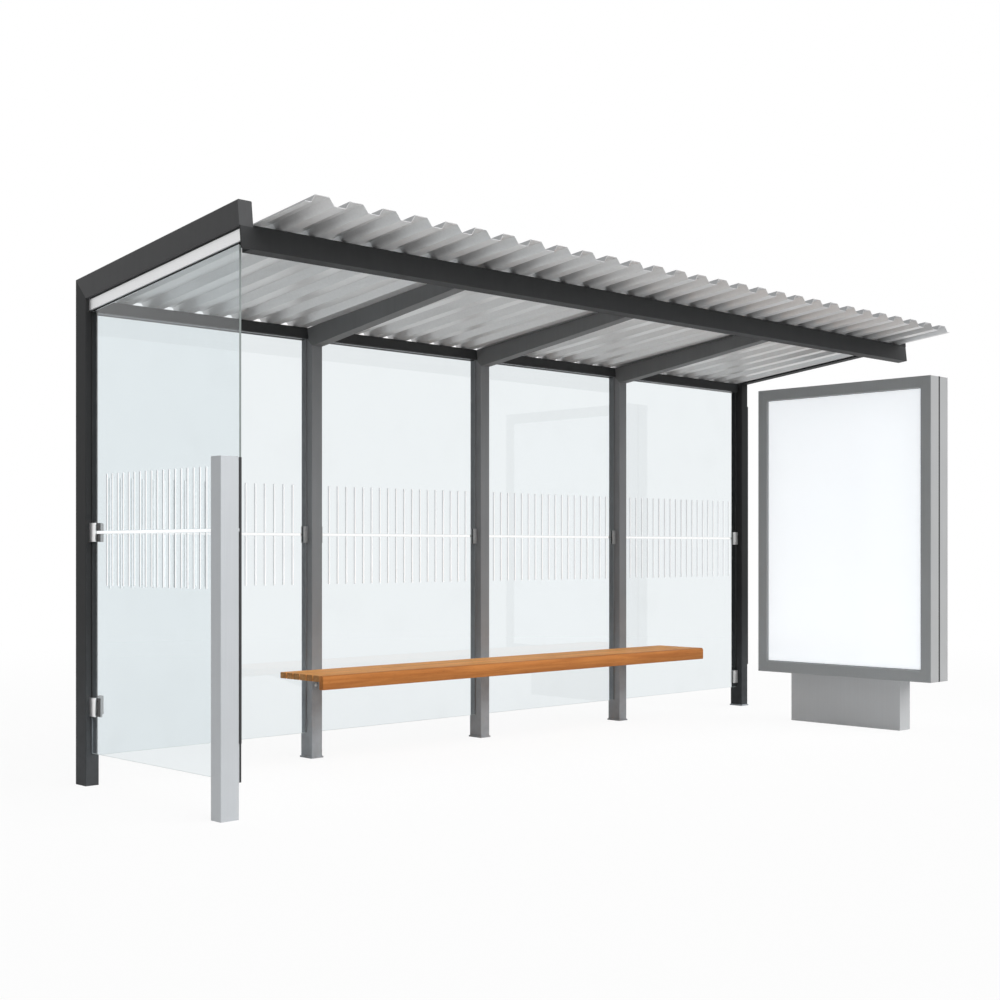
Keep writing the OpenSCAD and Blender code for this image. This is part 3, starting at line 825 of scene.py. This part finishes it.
def edge_guard():
    """Dark guard on the side panes' front edge, from their foot to the corner post's top."""
    low, high = span("side_lower_glass")
    top = span("corner_post")[1][2]
    return block((low[0] + EDGE_BACK, low[1] - GUARD_T, low[2]), (high[0] - EDGE_BACK, low[1] + EDGE_SUNK, top))


def joint_profile():
    """White profile in the joint between the two side panes."""
    (low, high), (foot, _) = span("side_lower_glass"), span("side_upper_glass")
    inset = 0.4 * MM
    corner = (high[0] - inset, high[1] - inset, foot[2] - inset)
    return block((low[0] + inset, low[1] + inset, high[2] + inset), corner)


def stripes(panes, row, width, shift, fittings):
    """Stripes on the front faces of an upper and a lower pane, printed ones and the dark lines of painted shadow beside
    them: thin upright plates at an even pitch along one axis, centred on the pane and then moved by the shift."""
    axis, pitch, margin, stripe_low, stripe_high = row
    (low, high), (_, top) = span(panes[0]), span(panes[1])
    room = high[axis] - low[axis] - 2 * margin
    count = int(room / pitch) + 1
    line = (low[axis] + high[axis] - (count - 1) * pitch) / 2 + pitch * np.arange(count) + shift
    face = low[1 - axis] - fittings.print_t / 2
    ends = [(stripe_low, top[2] - 2 * MM), (low[2] + 2 * MM, stripe_high)]
    parts = []
    for z0, z1 in ends:
        outline = round_outline(width, z1 - z0, 0.8 * MM, 1)
        sides = np.array([-0.5, 0.5]) * fittings.print_t
        plate = np.zeros((2, len(outline), 3))
        plate[:, :, axis] = outline[None, :, 0]
        plate[:, :, 1 - axis] = sides[:, None]
        plate[:, :, 2] = outline[None, :, 1]
        places = np.full((count, 3), (z0 + z1) / 2)
        places[:, axis] = line
        places[:, 1 - axis] = face
        parts.append(repeated(loft(plate), places))
    return joined(parts)


def channel_seal():
    """Two rubber lips under the glass channel, one on each face of the side pane, carried along the slope."""
    low, high = span("side_upper_glass")
    front = span("middle_post_1")[0][1]
    ends = (np.array([low[1], high[1]]) - front) / math.cos(ROOF_FALL)
    drop = -SIDE_BEAM_DROP - CHANNEL_D - LIP_OFF
    outline = round_outline(LIP_W, LIP_D, LIP_R, 3)
    lips = []
    for x in (low[0] - LIP_OFF, high[0] + LIP_OFF):
        lips.append(loft(roof_points(x + outline[None, :, 0], ends[:, None], drop + outline[None, :, 1])))
    return joined(lips)


def channel_shadow_strip():
    """Dark rubber strip along the top of the channel's outer face, under the side beam: painted shadow of the beam."""
    low, high = span("side_glass_channel")
    front = span("middle_post_1")[0][1]
    ends = (np.array([low[1] + SHADOW_STRIP_END, high[1] - SHADOW_STRIP_END]) - front) / math.cos(ROOF_FALL)
    outline = round_outline(SHADOW_STRIP_W, SHADOW_STRIP_D, SHADOW_STRIP_R, 2)
    above = outline[None, :, 1] - SIDE_BEAM_DROP - SHADOW_STRIP_DROP
    return loft(roof_points(low[0] + outline[None, :, 0], ends[:, None], above))


def upright_seal(low, high, clamps):
    """Upright rubber between two corners, in the lengths that clamps at the given heights leave."""
    stops = [low[2]] + [z + side * CLAMP_H / 2 for z in clamps for side in (-1, 1)] + [high[2]]
    lengths = zip(stops[0::2], stops[1::2])
    return joined([block((low[0], low[1], z0), (high[0], high[1], z1), SEAL_EASE) for z0, z1 in lengths])


def post_seal():
    """Rubber between the side panes' rear edge and the left post."""
    low, high = span("side_upper_glass")
    joint, _, side_low = clamp_heights()
    post = span("left_rear_post")[0][1]
    foot = span("side_lower_glass")[0][2]
    corner = (high[0] + SEAL_PROUD, post, ROOF_SEAT - SEAL_HEAD)
    return upright_seal((low[0] - SEAL_PROUD, high[1] - SEAL_BITE, foot), corner, (side_low, joint))


def rear_gaskets(posts):
    """Gaskets between given posts and the upright edges of the rear panes beside them."""
    joint, rear_low, side_low = clamp_heights()
    low_clamp = {POSTS[0]: (side_low, joint), POSTS[-1]: (rear_low, joint)}
    gaskets = []
    for bay in BAYS:
        low, high = span("rear_upper_glass_%d" % bay)
        foot = span("rear_lower_glass_%d" % bay)[0][2]
        left, right = POSTS[bay - 1], POSTS[bay]
        sides = ((left, span(left)[1][0], low[0] + SEAL_BITE), (right, high[0] - SEAL_BITE, span(right)[0][0]))
        for post, x0, x1 in sides:
            if post in posts:
                corners = (x0, low[1] - SEAL_PROUD, foot), (x1, high[1] + SEAL_PROUD, high[2])
                gaskets.append(upright_seal(corners[0], corners[1], low_clamp.get(post, (joint,))))
    return joined(gaskets)


CLAMP_H, CLAMP_D, CLAMP_SPINE, HALF_GLASS, PAD_T = 90 * MM, 30 * MM, 7.7 * MM, 5 * MM, 1.3 * MM
MIDDLE_CLAMP, END_CLAMP, SIDE_CLAMP = (28 * MM, 28 * MM), (50 * MM, 50 * MM), (52 * MM, 80 * MM)


JAW_T, JAW_EDGE = CLAMP_D / 2 - HALF_GLASS - PAD_T, 1.2 * MM


def inner_jaw(lengths, side=1):
    """Inner jaw of a glass clamp, an eased bar along +x at the distance that glass and pads leave."""
    length = lengths[0 if side < 0 else 1]
    jaw = eased_bar(length, JAW_T, CLAMP_H, JAW_EDGE, JAW_EDGE)
    return moved(jaw, (length / 2, side * (CLAMP_D - JAW_T) / 2, 0))


def outer_jaw(lengths):
    """Outer jaw of a glass clamp: the inner one's mirror image, with the spine between the jaws at the post."""
    spine = eased_bar(CLAMP_SPINE, CLAMP_D - JAW_T, CLAMP_H - 4 * MM, 1 * MM, 0.5 * MM, steps=2)
    return joined([inner_jaw(lengths, -1), moved(spine, (CLAMP_SPINE / 2, 0, 0))])


def clamp_pads(lengths):
    """Rubber pads between the jaws and the glass, a little smaller than the jaws."""
    offset = HALF_GLASS + PAD_T / 2
    pads = []
    for length, side in zip(lengths, (-1, 1)):
        size = length - CLAMP_SPINE - 0.6 * MM
        pad = eased_bar(size, PAD_T, CLAMP_H - 1.2 * MM, 0.4 * MM, 0.4 * MM, steps=2)
        pads.append(moved(pad, (CLAMP_SPINE + size / 2, side * offset, 0)))
    return joined(pads)


def clamp_screws(lengths):
    """Button heads with a socket, two on the outer face of each jaw, but none on a side clamp's outer jaw."""
    profile = [(6.4, -0.4), (6.4, 0.7), (5.4, 2.4), (3.4, 3.2), (2.5, 3.2), (2.3, 1.0)]
    head = turned(np.array(profile) * MM, 16)
    out = moved(head, axes=((1, 0, 0), (0, 0, 1), (0, -1, 0)))
    back = moved(head, axes=((1, 0, 0), (0, 0, -1), (0, 1, 0)))
    x = CLAMP_SPINE + (lengths[0] - CLAMP_SPINE) * 0.45
    heights = [-22 * MM, 22 * MM]
    places = [[(x, side * CLAMP_D / 2, z) for z in heights] for side in (-1, 1)]
    inner = repeated(back, places[1])
    return inner if lengths == SIDE_CLAMP else joined([repeated(out, places[0]), inner])


def clamp_heights():
    """Middle heights of the clamps: at the pane joint, low on the rear panes and low on the side pane."""
    joint = (span("side_lower_glass")[1][2] + span("side_upper_glass")[0][2]) / 2
    return joint, span("rear_glass_clamps")[0][2] + CLAMP_H / 2, span("side_glass_clamps")[0][2] + CLAMP_H / 2


def clamp_spots():
    """Where the clamps sit, in three groups: on the left and middle posts, on the right post and on the side pane;
    for each, its jaws' lengths, its place on the post and its axes."""
    joint, rear_low, side_low = clamp_heights()
    pane = span("rear_upper_glass_1")
    y = (pane[0][1] + pane[1][1]) / 2
    to_right, to_left = ((1, 0, 0), (0, 1, 0), (0, 0, 1)), ((-1, 0, 0), (0, -1, 0), (0, 0, 1))
    first, last = span(POSTS[0])[1][0], span(POSTS[-1])[0][0]
    rear = [(END_CLAMP, (first, y, z), to_right) for z in (joint, side_low)]
    for name in MIDDLE_POSTS:
        low, high = span(name)
        rear += [(MIDDLE_CLAMP, (high[0], y, joint), to_right), (MIDDLE_CLAMP, (low[0], y, joint), to_left)]
    right = [(END_CLAMP, (last, y, z), to_left) for z in (joint, rear_low)]
    side_pane = span("side_upper_glass")
    x = (side_pane[0][0] + side_pane[1][0]) / 2
    front = span("left_rear_post")[0][1]
    side = [(SIDE_CLAMP, (x, front, z), ((0, -1, 0), (1, 0, 0), (0, 0, 1))) for z in (joint, side_low)]
    return {"rear": rear, "right": right, "side": side}


def build_clamps(finishes):
    """Clamps with eased jaws, rubber pads and button-head screws in place of the plain slotted blocks."""
    steels = {
        "rear": satin_metal("grey_clamp", finishes.rear_clamp, 2, metallic=0.1, roughness=0.4),
        "right": satin_metal("right_clamp", finishes.right_clamp, 2, metallic=0.5, roughness=0.3),
        "side": satin_metal("bright_clamp", finishes.side_clamp, 2, metallic=0.85, roughness=0.3),
    }
    bolts = {"rear": steels["rear"], "right": zinc("right_screw_zinc", (0.5, 0.5, 0.5)), "side": steels["side"]}
    pad = rubber("clamp_rubber")
    nodes = {"rear": "rear_glass_clamps", "right": "rear_glass_clamps", "side": "side_glass_clamps"}
    for label, spots in clamp_spots().items():
        node = (nodes[label],)
        back = steels["right" if label == "right" else "rear"]
        layers = (
            ("jaws", outer_jaw, steels[label], "clamp_steel", node),
            ("backs", inner_jaw, back, "clamp_steel", node),
            ("pads", clamp_pads, pad, None, ()),
            ("screws", clamp_screws, bolts[label], "clamp_steel", ()),
        )
        for layer, shape, finish, slot, stands_for in layers:
            part = joined([moved(shape(lengths), place, axes) for lengths, place, axes in spots])
            add_piece("%s_clamp_%s" % (label, layer), part, finish, stands_for=stands_for)


CAP_T, CAP_REVEAL, CAP_EDGE, CAP_EASE, CAP_LIFT = 4 * MM, 1 * MM, 4 * MM, 1.5 * MM, 1.2 * MM
BAR_END, BAR_SCREWS = 60 * MM, 6


def build_corner(finishes):
    """Satin corner post with a cap, the glass channel, and the glazing bar's screws."""
    upright = satin_metal("satin_aluminium_upright", finishes.aluminium, 2, metallic=0.52)
    # painted light: a lighter copy of the corner post's aluminium for the shaded channel
    lit_channel_metal = satin_metal("satin_aluminium_lit_channel_metal", finishes.channel, 1, metallic=0.9)
    dress(("corner_post",), upright)
    dress(("side_glass_channel",), lit_channel_metal)
    low, high = span("corner_post")
    size = high - low
    cap = eased_bar(CAP_T, size[0] - CAP_REVEAL, size[1] - CAP_REVEAL, CAP_EDGE, CAP_EASE)
    middle = (low + high) / 2
    cap = moved(cap, (middle[0], middle[1], high[2] + CAP_LIFT), axes=((0, 0, 1), (1, 0, 0), (0, 1, 0)))
    add_piece("corner_post_cap", cap, upright)
    low, high = span("glazing_bar")
    head = turned(np.array([(4.6, -0.3), (4.6, 0.3), (3.6, 1.3), (1.6, 1.7)]) * MM, 14)
    head = moved(head, axes=((0, 1, 0), (0, 0, 1), (1, 0, 0)))
    heights = np.linspace(low[2] + BAR_END, high[2] - BAR_END, BAR_SCREWS)
    places = [(high[0], (low[1] + high[1]) / 2, z) for z in heights]
    plated = zinc("bar_screw_zinc", (0.4, 0.4, 0.4))
    add_piece("glazing_bar_screws", repeated(head, places), plated)


SLAT_EDGES, NOSE_EDGES = (4.5 * MM,) * 4, (2 * MM, 15 * MM, 5 * MM, 4 * MM)
BOARD_EASE, NOSE_LIP = 2 * MM, 5 * MM
BRACKET_T, BOLT_BESIDE, BOLT_DROP = 8 * MM, 15 * MM, 50 * MM


def build_bench(finishes):
    """Boards with eased edges in place of the plain ones, each with its own grain, and the bolts of the brackets.
    A lip on the front board's back narrows the gap to the last slat."""
    low, high = span("bench_front_board")
    # one hardwood in a lit copy for the seat and a shaded copy for the front board: painted light and shade
    seat = oiled_board("seat_hardwood_lit", finishes.seat_pale_lit, finishes.seat_deep_lit, low, high, 0.5, 0.0)
    front = oiled_board("front_hardwood_shaded", finishes.front_pale_shaded, finishes.front_deep_shaded, low, high, 0.05, 0.14)
    rng = np.random.default_rng(7)
    boards = [(node, node.replace("slat", "board"), seat, SLAT_EDGES, 0.0) for node in SLATS]
    boards.append(("bench_front_board", "bench_nose_board", front, NOSE_EDGES, NOSE_LIP))
    for k, (node, name, wood, edge, lip) in enumerate(boards):
        low, high = span(node)
        high = high + (0, lip, 0)
        size = high - low
        board = moved(eased_bar(size[0], size[1], size[2], edge, BOARD_EASE, steps=5), (low + high) / 2)
        piece = add_piece(name, board, wood, stands_for=(node,))
        count = len(piece.data.vertices)
        shift = piece.data.attributes.new("grain_shift", "FLOAT_VECTOR", "POINT")
        shift.data.foreach_set("vector", np.tile(rng.uniform(-9, 9, 3), count))
        tone = piece.data.attributes.new("board_tone", "FLOAT", "POINT")
        tone.data.foreach_set("value", np.full(count, 1.0 + 0.09 * math.sin(2.4 * k)))
    add_piece("bench_bolts", bench_bolts(), zinc("bench_bolt_zinc", (0.8, 0.8, 0.79)))


def bench_bolts():
    """Six-sided bolt heads: under each bracket's plate at every slat, and on its back plate against the post."""
    head = turned(np.array([(9.5, -0.4), (9.5, 1.4), (7.4, 1.4), (7.4, 6.2), (6.2, 7.2)]) * MM, 6)
    down = moved(head, axes=((1, 0, 0), (0, -1, 0), (0, 0, -1)))
    front = moved(head, axes=((1, 0, 0), (0, 0, 1), (0, -1, 0)))
    under = span(SLATS[0])[0][2] - BRACKET_T
    low_places, front_places = [], []
    for name in MIDDLE_POSTS:
        low, high = span(name)
        x = (low[0] + high[0]) / 2
        for k, slat in enumerate(SLATS):
            board = span(slat)
            side = BOLT_BESIDE if k % 2 else -BOLT_BESIDE
            low_places.append((x + side, (board[0][1] + board[1][1]) / 2, under))
        front_places += [(x + s * BOLT_BESIDE, low[1] - BRACKET_T, under - BOLT_DROP) for s in (-1, 1)]
    return joined([repeated(down, low_places), repeated(front, front_places)])


def build_case(finishes, fittings):
    """Satin doors with mitred face frames, a dark groove between them, and a blank poster lit from inside on each
    side."""
    case = satin_metal("satin_case", finishes.case, 2, metallic=0.1, roughness=0.42, line=0.3)
    face = satin_metal("satin_face_frame", finishes.case_face, 2, metallic=0.1, roughness=0.42, line=0.3)
    foot = satin_metal("satin_pedestal", finishes.pedestal, 2, metallic=0.08, roughness=0.42, line=0.3)
    groove = powder_coat("groove_coat", (0.012, 0.012, 0.0125), roughness=0.42, dust_and_floor_light=0.0, shine=0.05)
    dress(("case_left_door", "case_right_door"), case)
    dress(("case_pedestal",), foot)
    dress(("case_core",), groove)
    low, high = span("left_poster_pane")
    poster = lit_poster("lit_blank_poster", finishes.poster, (low + high) / 2, (high - low) / 2, finishes.glow)
    dress(("left_poster_pane", "right_poster_pane"), poster)
    for side, sign in (("left", -1), ("right", 1)):
        bars = face_frame("case_%s_door" % side, "%s_poster_pane" % side, sign, fittings)
        add_piece("case_%s_face" % side, bars, face, smooth=20.0)
    add_piece("case_groove_seal", groove_seal(), rubber("groove_rubber"))


def groove_seal():
    """Rubber in the groove between the doors: along both ends and the top, a little below the doors' edges."""
    (low, high), (inner, outer) = span("case_left_door"), span("case_core")
    sunk, bite = 0.3 * MM, 0.5 * MM
    x0, x1 = inner[0], outer[0]
    front = block((x0, low[1] + sunk, low[2] + sunk), (x1, inner[1] + bite, high[2] - sunk))
    back = block((x0, outer[1] - bite, low[2] + sunk), (x1, high[1] - sunk, high[2] - sunk))
    top = block((x0, low[1] + sunk, outer[2] - bite), (x1, high[1] - sunk, high[2] - sunk))
    return joined([front, back, top])


def face_frame(door, pane, sign, fittings):
    """Four mitred bars on a door's face: the profile (distance from the door's edge, height) runs along each side,
    cut at 45 degrees, so that a point at distance u lies u in from both sides at a corner."""
    low, high = span(door)
    glass = span(pane)
    border = glass[0][1] - low[1]
    face = low[0] if sign < 0 else high[0]
    sunk = abs(face - (glass[0][0] if sign < 0 else glass[1][0])) - 0.3 * MM
    top = fittings.face_proud
    inset, ease, bite = 0.2 * MM, 1.2 * MM, 0.4 * MM
    inner = border + inset
    u = np.array([inset, inset, inset + ease, fittings.face_width, border + 6 * MM, inner, inner])
    h = np.array([-bite, top - ease, top, top, -sunk, -sunk, -bite])
    half = (high - low)[1:] / 2
    centre = (high + low)[1:] / 2
    seam = 0.3 * MM
    corners = np.array([[-1, -1], [1, -1], [1, 1], [-1, 1]])
    bars = []
    for k in range(4):
        first, second = corners[k], corners[(k + 1) % 4]
        run = (second - first) / 2
        ends = []
        for corner, shift in ((first, seam), (second, -seam)):
            flat = centre + corner * (half - u[:, None]) + run * shift
            ends.append(np.column_stack([face + sign * h, flat]))
        bars.append(loft(np.stack(ends)))
    return joined(bars)


FLOOR_REACH, FLOOR_STEPS = 40.0, 8
SENSOR_W, FAR_CLIP = 36.0, 200.0


def build_stage(stage):
    """White floor that keeps a soft shadow, an even white surround, one soft key lamp and the level camera."""
    scene = bpy.context.scene
    scene.view_settings.view_transform = "Standard"
    reach = np.linspace(-FLOOR_REACH, FLOOR_REACH, FLOOR_STEPS + 1)
    x, y = np.meshgrid(reach, reach, indexing="ij")
    points = np.stack([x, y, np.zeros_like(x)], axis=-1).reshape(-1, 3)
    row = FLOOR_STEPS + 1
    i, j = np.meshgrid(np.arange(FLOOR_STEPS), np.arange(FLOOR_STEPS), indexing="ij")
    corner = (i * row + j).reshape(-1, 1)
    mesh = bpy.data.meshes.new("studio_floor")
    mesh.from_pydata(points.tolist(), [], (corner + np.array([[0, row, row + 1, 1]])).tolist())
    mesh.materials.append(floor_finish(stage))
    floor = bpy.data.objects.new("studio_floor", mesh)
    scene.collection.objects.link(floor)

    n = Nodes(bpy.data.worlds.new("studio_surround"))
    strength = stage.sky + (1.0 - stage.sky) * seen_rays(n)
    white = n.add("Background", {}, {"Color": (1, 1, 1, 1), "Strength": strength})
    scene.world = n.finish(white, kind="OutputWorld")

    lamp = bpy.data.lights.new("key_lamp", "SUN")
    lamp.energy = stage.key
    lamp.angle = stage.key_spread
    key = bpy.data.objects.new("key_lamp", lamp)
    key.rotation_euler = (stage.key_tilt, 0.0, stage.key_turn)
    scene.collection.objects.link(key)

    camera = bpy.data.cameras.new("photo_camera")
    camera.sensor_width = SENSOR_W
    camera.lens = stage.lens
    camera.shift_y = stage.rise
    camera.clip_end = FAR_CLIP
    viewer = bpy.data.objects.new("photo_camera", camera)
    viewer.location = stage.camera_place
    viewer.rotation_euler = (QUARTER, 0.0, stage.heading)
    scene.collection.objects.link(viewer)
    scene.camera = viewer


def seen_rays(n):
    """1 for rays that look: straight from the camera, off a shiny face or through glass."""
    looks = [n.add("LightPath", output=name) for name in ("Is Camera Ray", "Is Glossy Ray", "Is Transmission Ray")]
    return looks[0].most(looks[1]).most(looks[2])


def floor_finish(stage):
    """Pale floor: seen, it is white with a share of the lamps' light, which fades out away from the shelter; for
    bounced light it is plain."""
    n, place = new_finish("pale_floor")
    away = n.add("VectorMath", {"operation": "LENGTH"}, {0: place}, output="Value")
    grain = n.noise(place, 30, detail=3)
    plain = n.add("BsdfDiffuse", {}, {"Color": n.shaded(stage.floor, 0.98 + 0.04 * grain)})
    white = n.add("Emission", {}, {"Color": (1, 1, 1, 1), "Strength": 1.0})
    share = n.ramp(away, 4.0, 11.0, stage.shadow_share, 0.0)
    seen = n.add("MixShader", {}, {0: share, 1: white, 2: plain})
    return n.finish(n.add("MixShader", {}, {0: seen_rays(n), 1: plain, 2: seen}))


# Operators and panel

class SHELTER_OT_stage(bpy.types.Operator):
    """Set up the floor, the surround, the key lamp and the camera"""

    bl_idname = "shelter.stage"
    bl_label = "Studio"

    def execute(self, context):
        build_stage(context.scene.shelter_stage)
        return {"FINISHED"}


class SHELTER_OT_steelwork(bpy.types.Operator):
    """Coat the posts and beams and weld the feet"""

    bl_idname = "shelter.steelwork"
    bl_label = "Steelwork"

    def execute(self, context):
        build_steelwork(context.scene.shelter_finishes, context.scene.shelter_fittings)
        return {"FINISHED"}


class SHELTER_OT_roof(bpy.types.Operator):
    """Coat the ribbed sheet and add its laps and screws"""

    bl_idname = "shelter.roof"
    bl_label = "Roof"

    def execute(self, context):
        build_roof(context.scene.shelter_finishes)
        return {"FINISHED"}


class SHELTER_OT_glazing(bpy.types.Operator):
    """Glaze the back and the side, and add prints and seals"""

    bl_idname = "shelter.glazing"
    bl_label = "Glazing"

    def execute(self, context):
        build_glazing(context.scene.shelter_finishes, context.scene.shelter_fittings)
        return {"FINISHED"}


class SHELTER_OT_clamps(bpy.types.Operator):
    """Replace the plain glass clamps by jaws, pads and screws"""

    bl_idname = "shelter.clamps"
    bl_label = "Glass clamps"

    def execute(self, context):
        build_clamps(context.scene.shelter_finishes)
        return {"FINISHED"}


class SHELTER_OT_corner(bpy.types.Operator):
    """Finish the corner post, the channel and the glazing bar"""

    bl_idname = "shelter.corner"
    bl_label = "Corner post"

    def execute(self, context):
        build_corner(context.scene.shelter_finishes)
        return {"FINISHED"}


class SHELTER_OT_bench(bpy.types.Operator):
    """Replace the plain boards by eased ones and bolt the brackets"""

    bl_idname = "shelter.bench"
    bl_label = "Bench"

    def execute(self, context):
        build_bench(context.scene.shelter_finishes)
        return {"FINISHED"}


class SHELTER_OT_case(bpy.types.Operator):
    """Finish the poster case and frame its doors"""

    bl_idname = "shelter.case"
    bl_label = "Poster case"

    def execute(self, context):
        build_case(context.scene.shelter_finishes, context.scene.shelter_fittings)
        return {"FINISHED"}


PIECE_OPERATORS = (
    SHELTER_OT_steelwork, SHELTER_OT_roof, SHELTER_OT_glazing, SHELTER_OT_clamps,
    SHELTER_OT_corner, SHELTER_OT_bench, SHELTER_OT_case,
)
GROUPS = {"shelter_finishes": ShelterFinishes, "shelter_fittings": ShelterFittings, "shelter_stage": ShelterStage}


class SHELTER_PT_panel(bpy.types.Panel):
    """Lists the shelter's pieces and settings"""

    bl_idname = "SHELTER_PT_panel"
    bl_label = "Bus shelter"
    bl_space_type = "VIEW_3D"
    bl_region_type = "UI"
    bl_category = "Shelter"

    def draw(self, context):
        for operator in PIECE_OPERATORS + (SHELTER_OT_stage,):
            self.layout.operator(operator.bl_idname)
        for name, group in GROUPS.items():
            box = self.layout.box()
            for key in group.__annotations__:
                box.prop(getattr(context.scene, name), key)


CLASSES = tuple(GROUPS.values()) + PIECE_OPERATORS + (SHELTER_OT_stage, SHELTER_PT_panel)


def register():
    for cls in CLASSES:
        bpy.utils.register_class(cls)
    for name, group in GROUPS.items():
        setattr(bpy.types.Scene, name, bpy.props.PointerProperty(type=group))


def unregister():
    for name in GROUPS:
        delattr(bpy.types.Scene, name)
    for cls in reversed(CLASSES):
        bpy.utils.unregister_class(cls)


def main():
    register()
    bpy.ops.shelter.stage()
    bpy.ops.shelter.steelwork()
    bpy.ops.shelter.roof()
    bpy.ops.shelter.glazing()
    bpy.ops.shelter.clamps()
    bpy.ops.shelter.corner()
    bpy.ops.shelter.bench()
    bpy.ops.shelter.case()


if __name__ == "__main__":
    main()
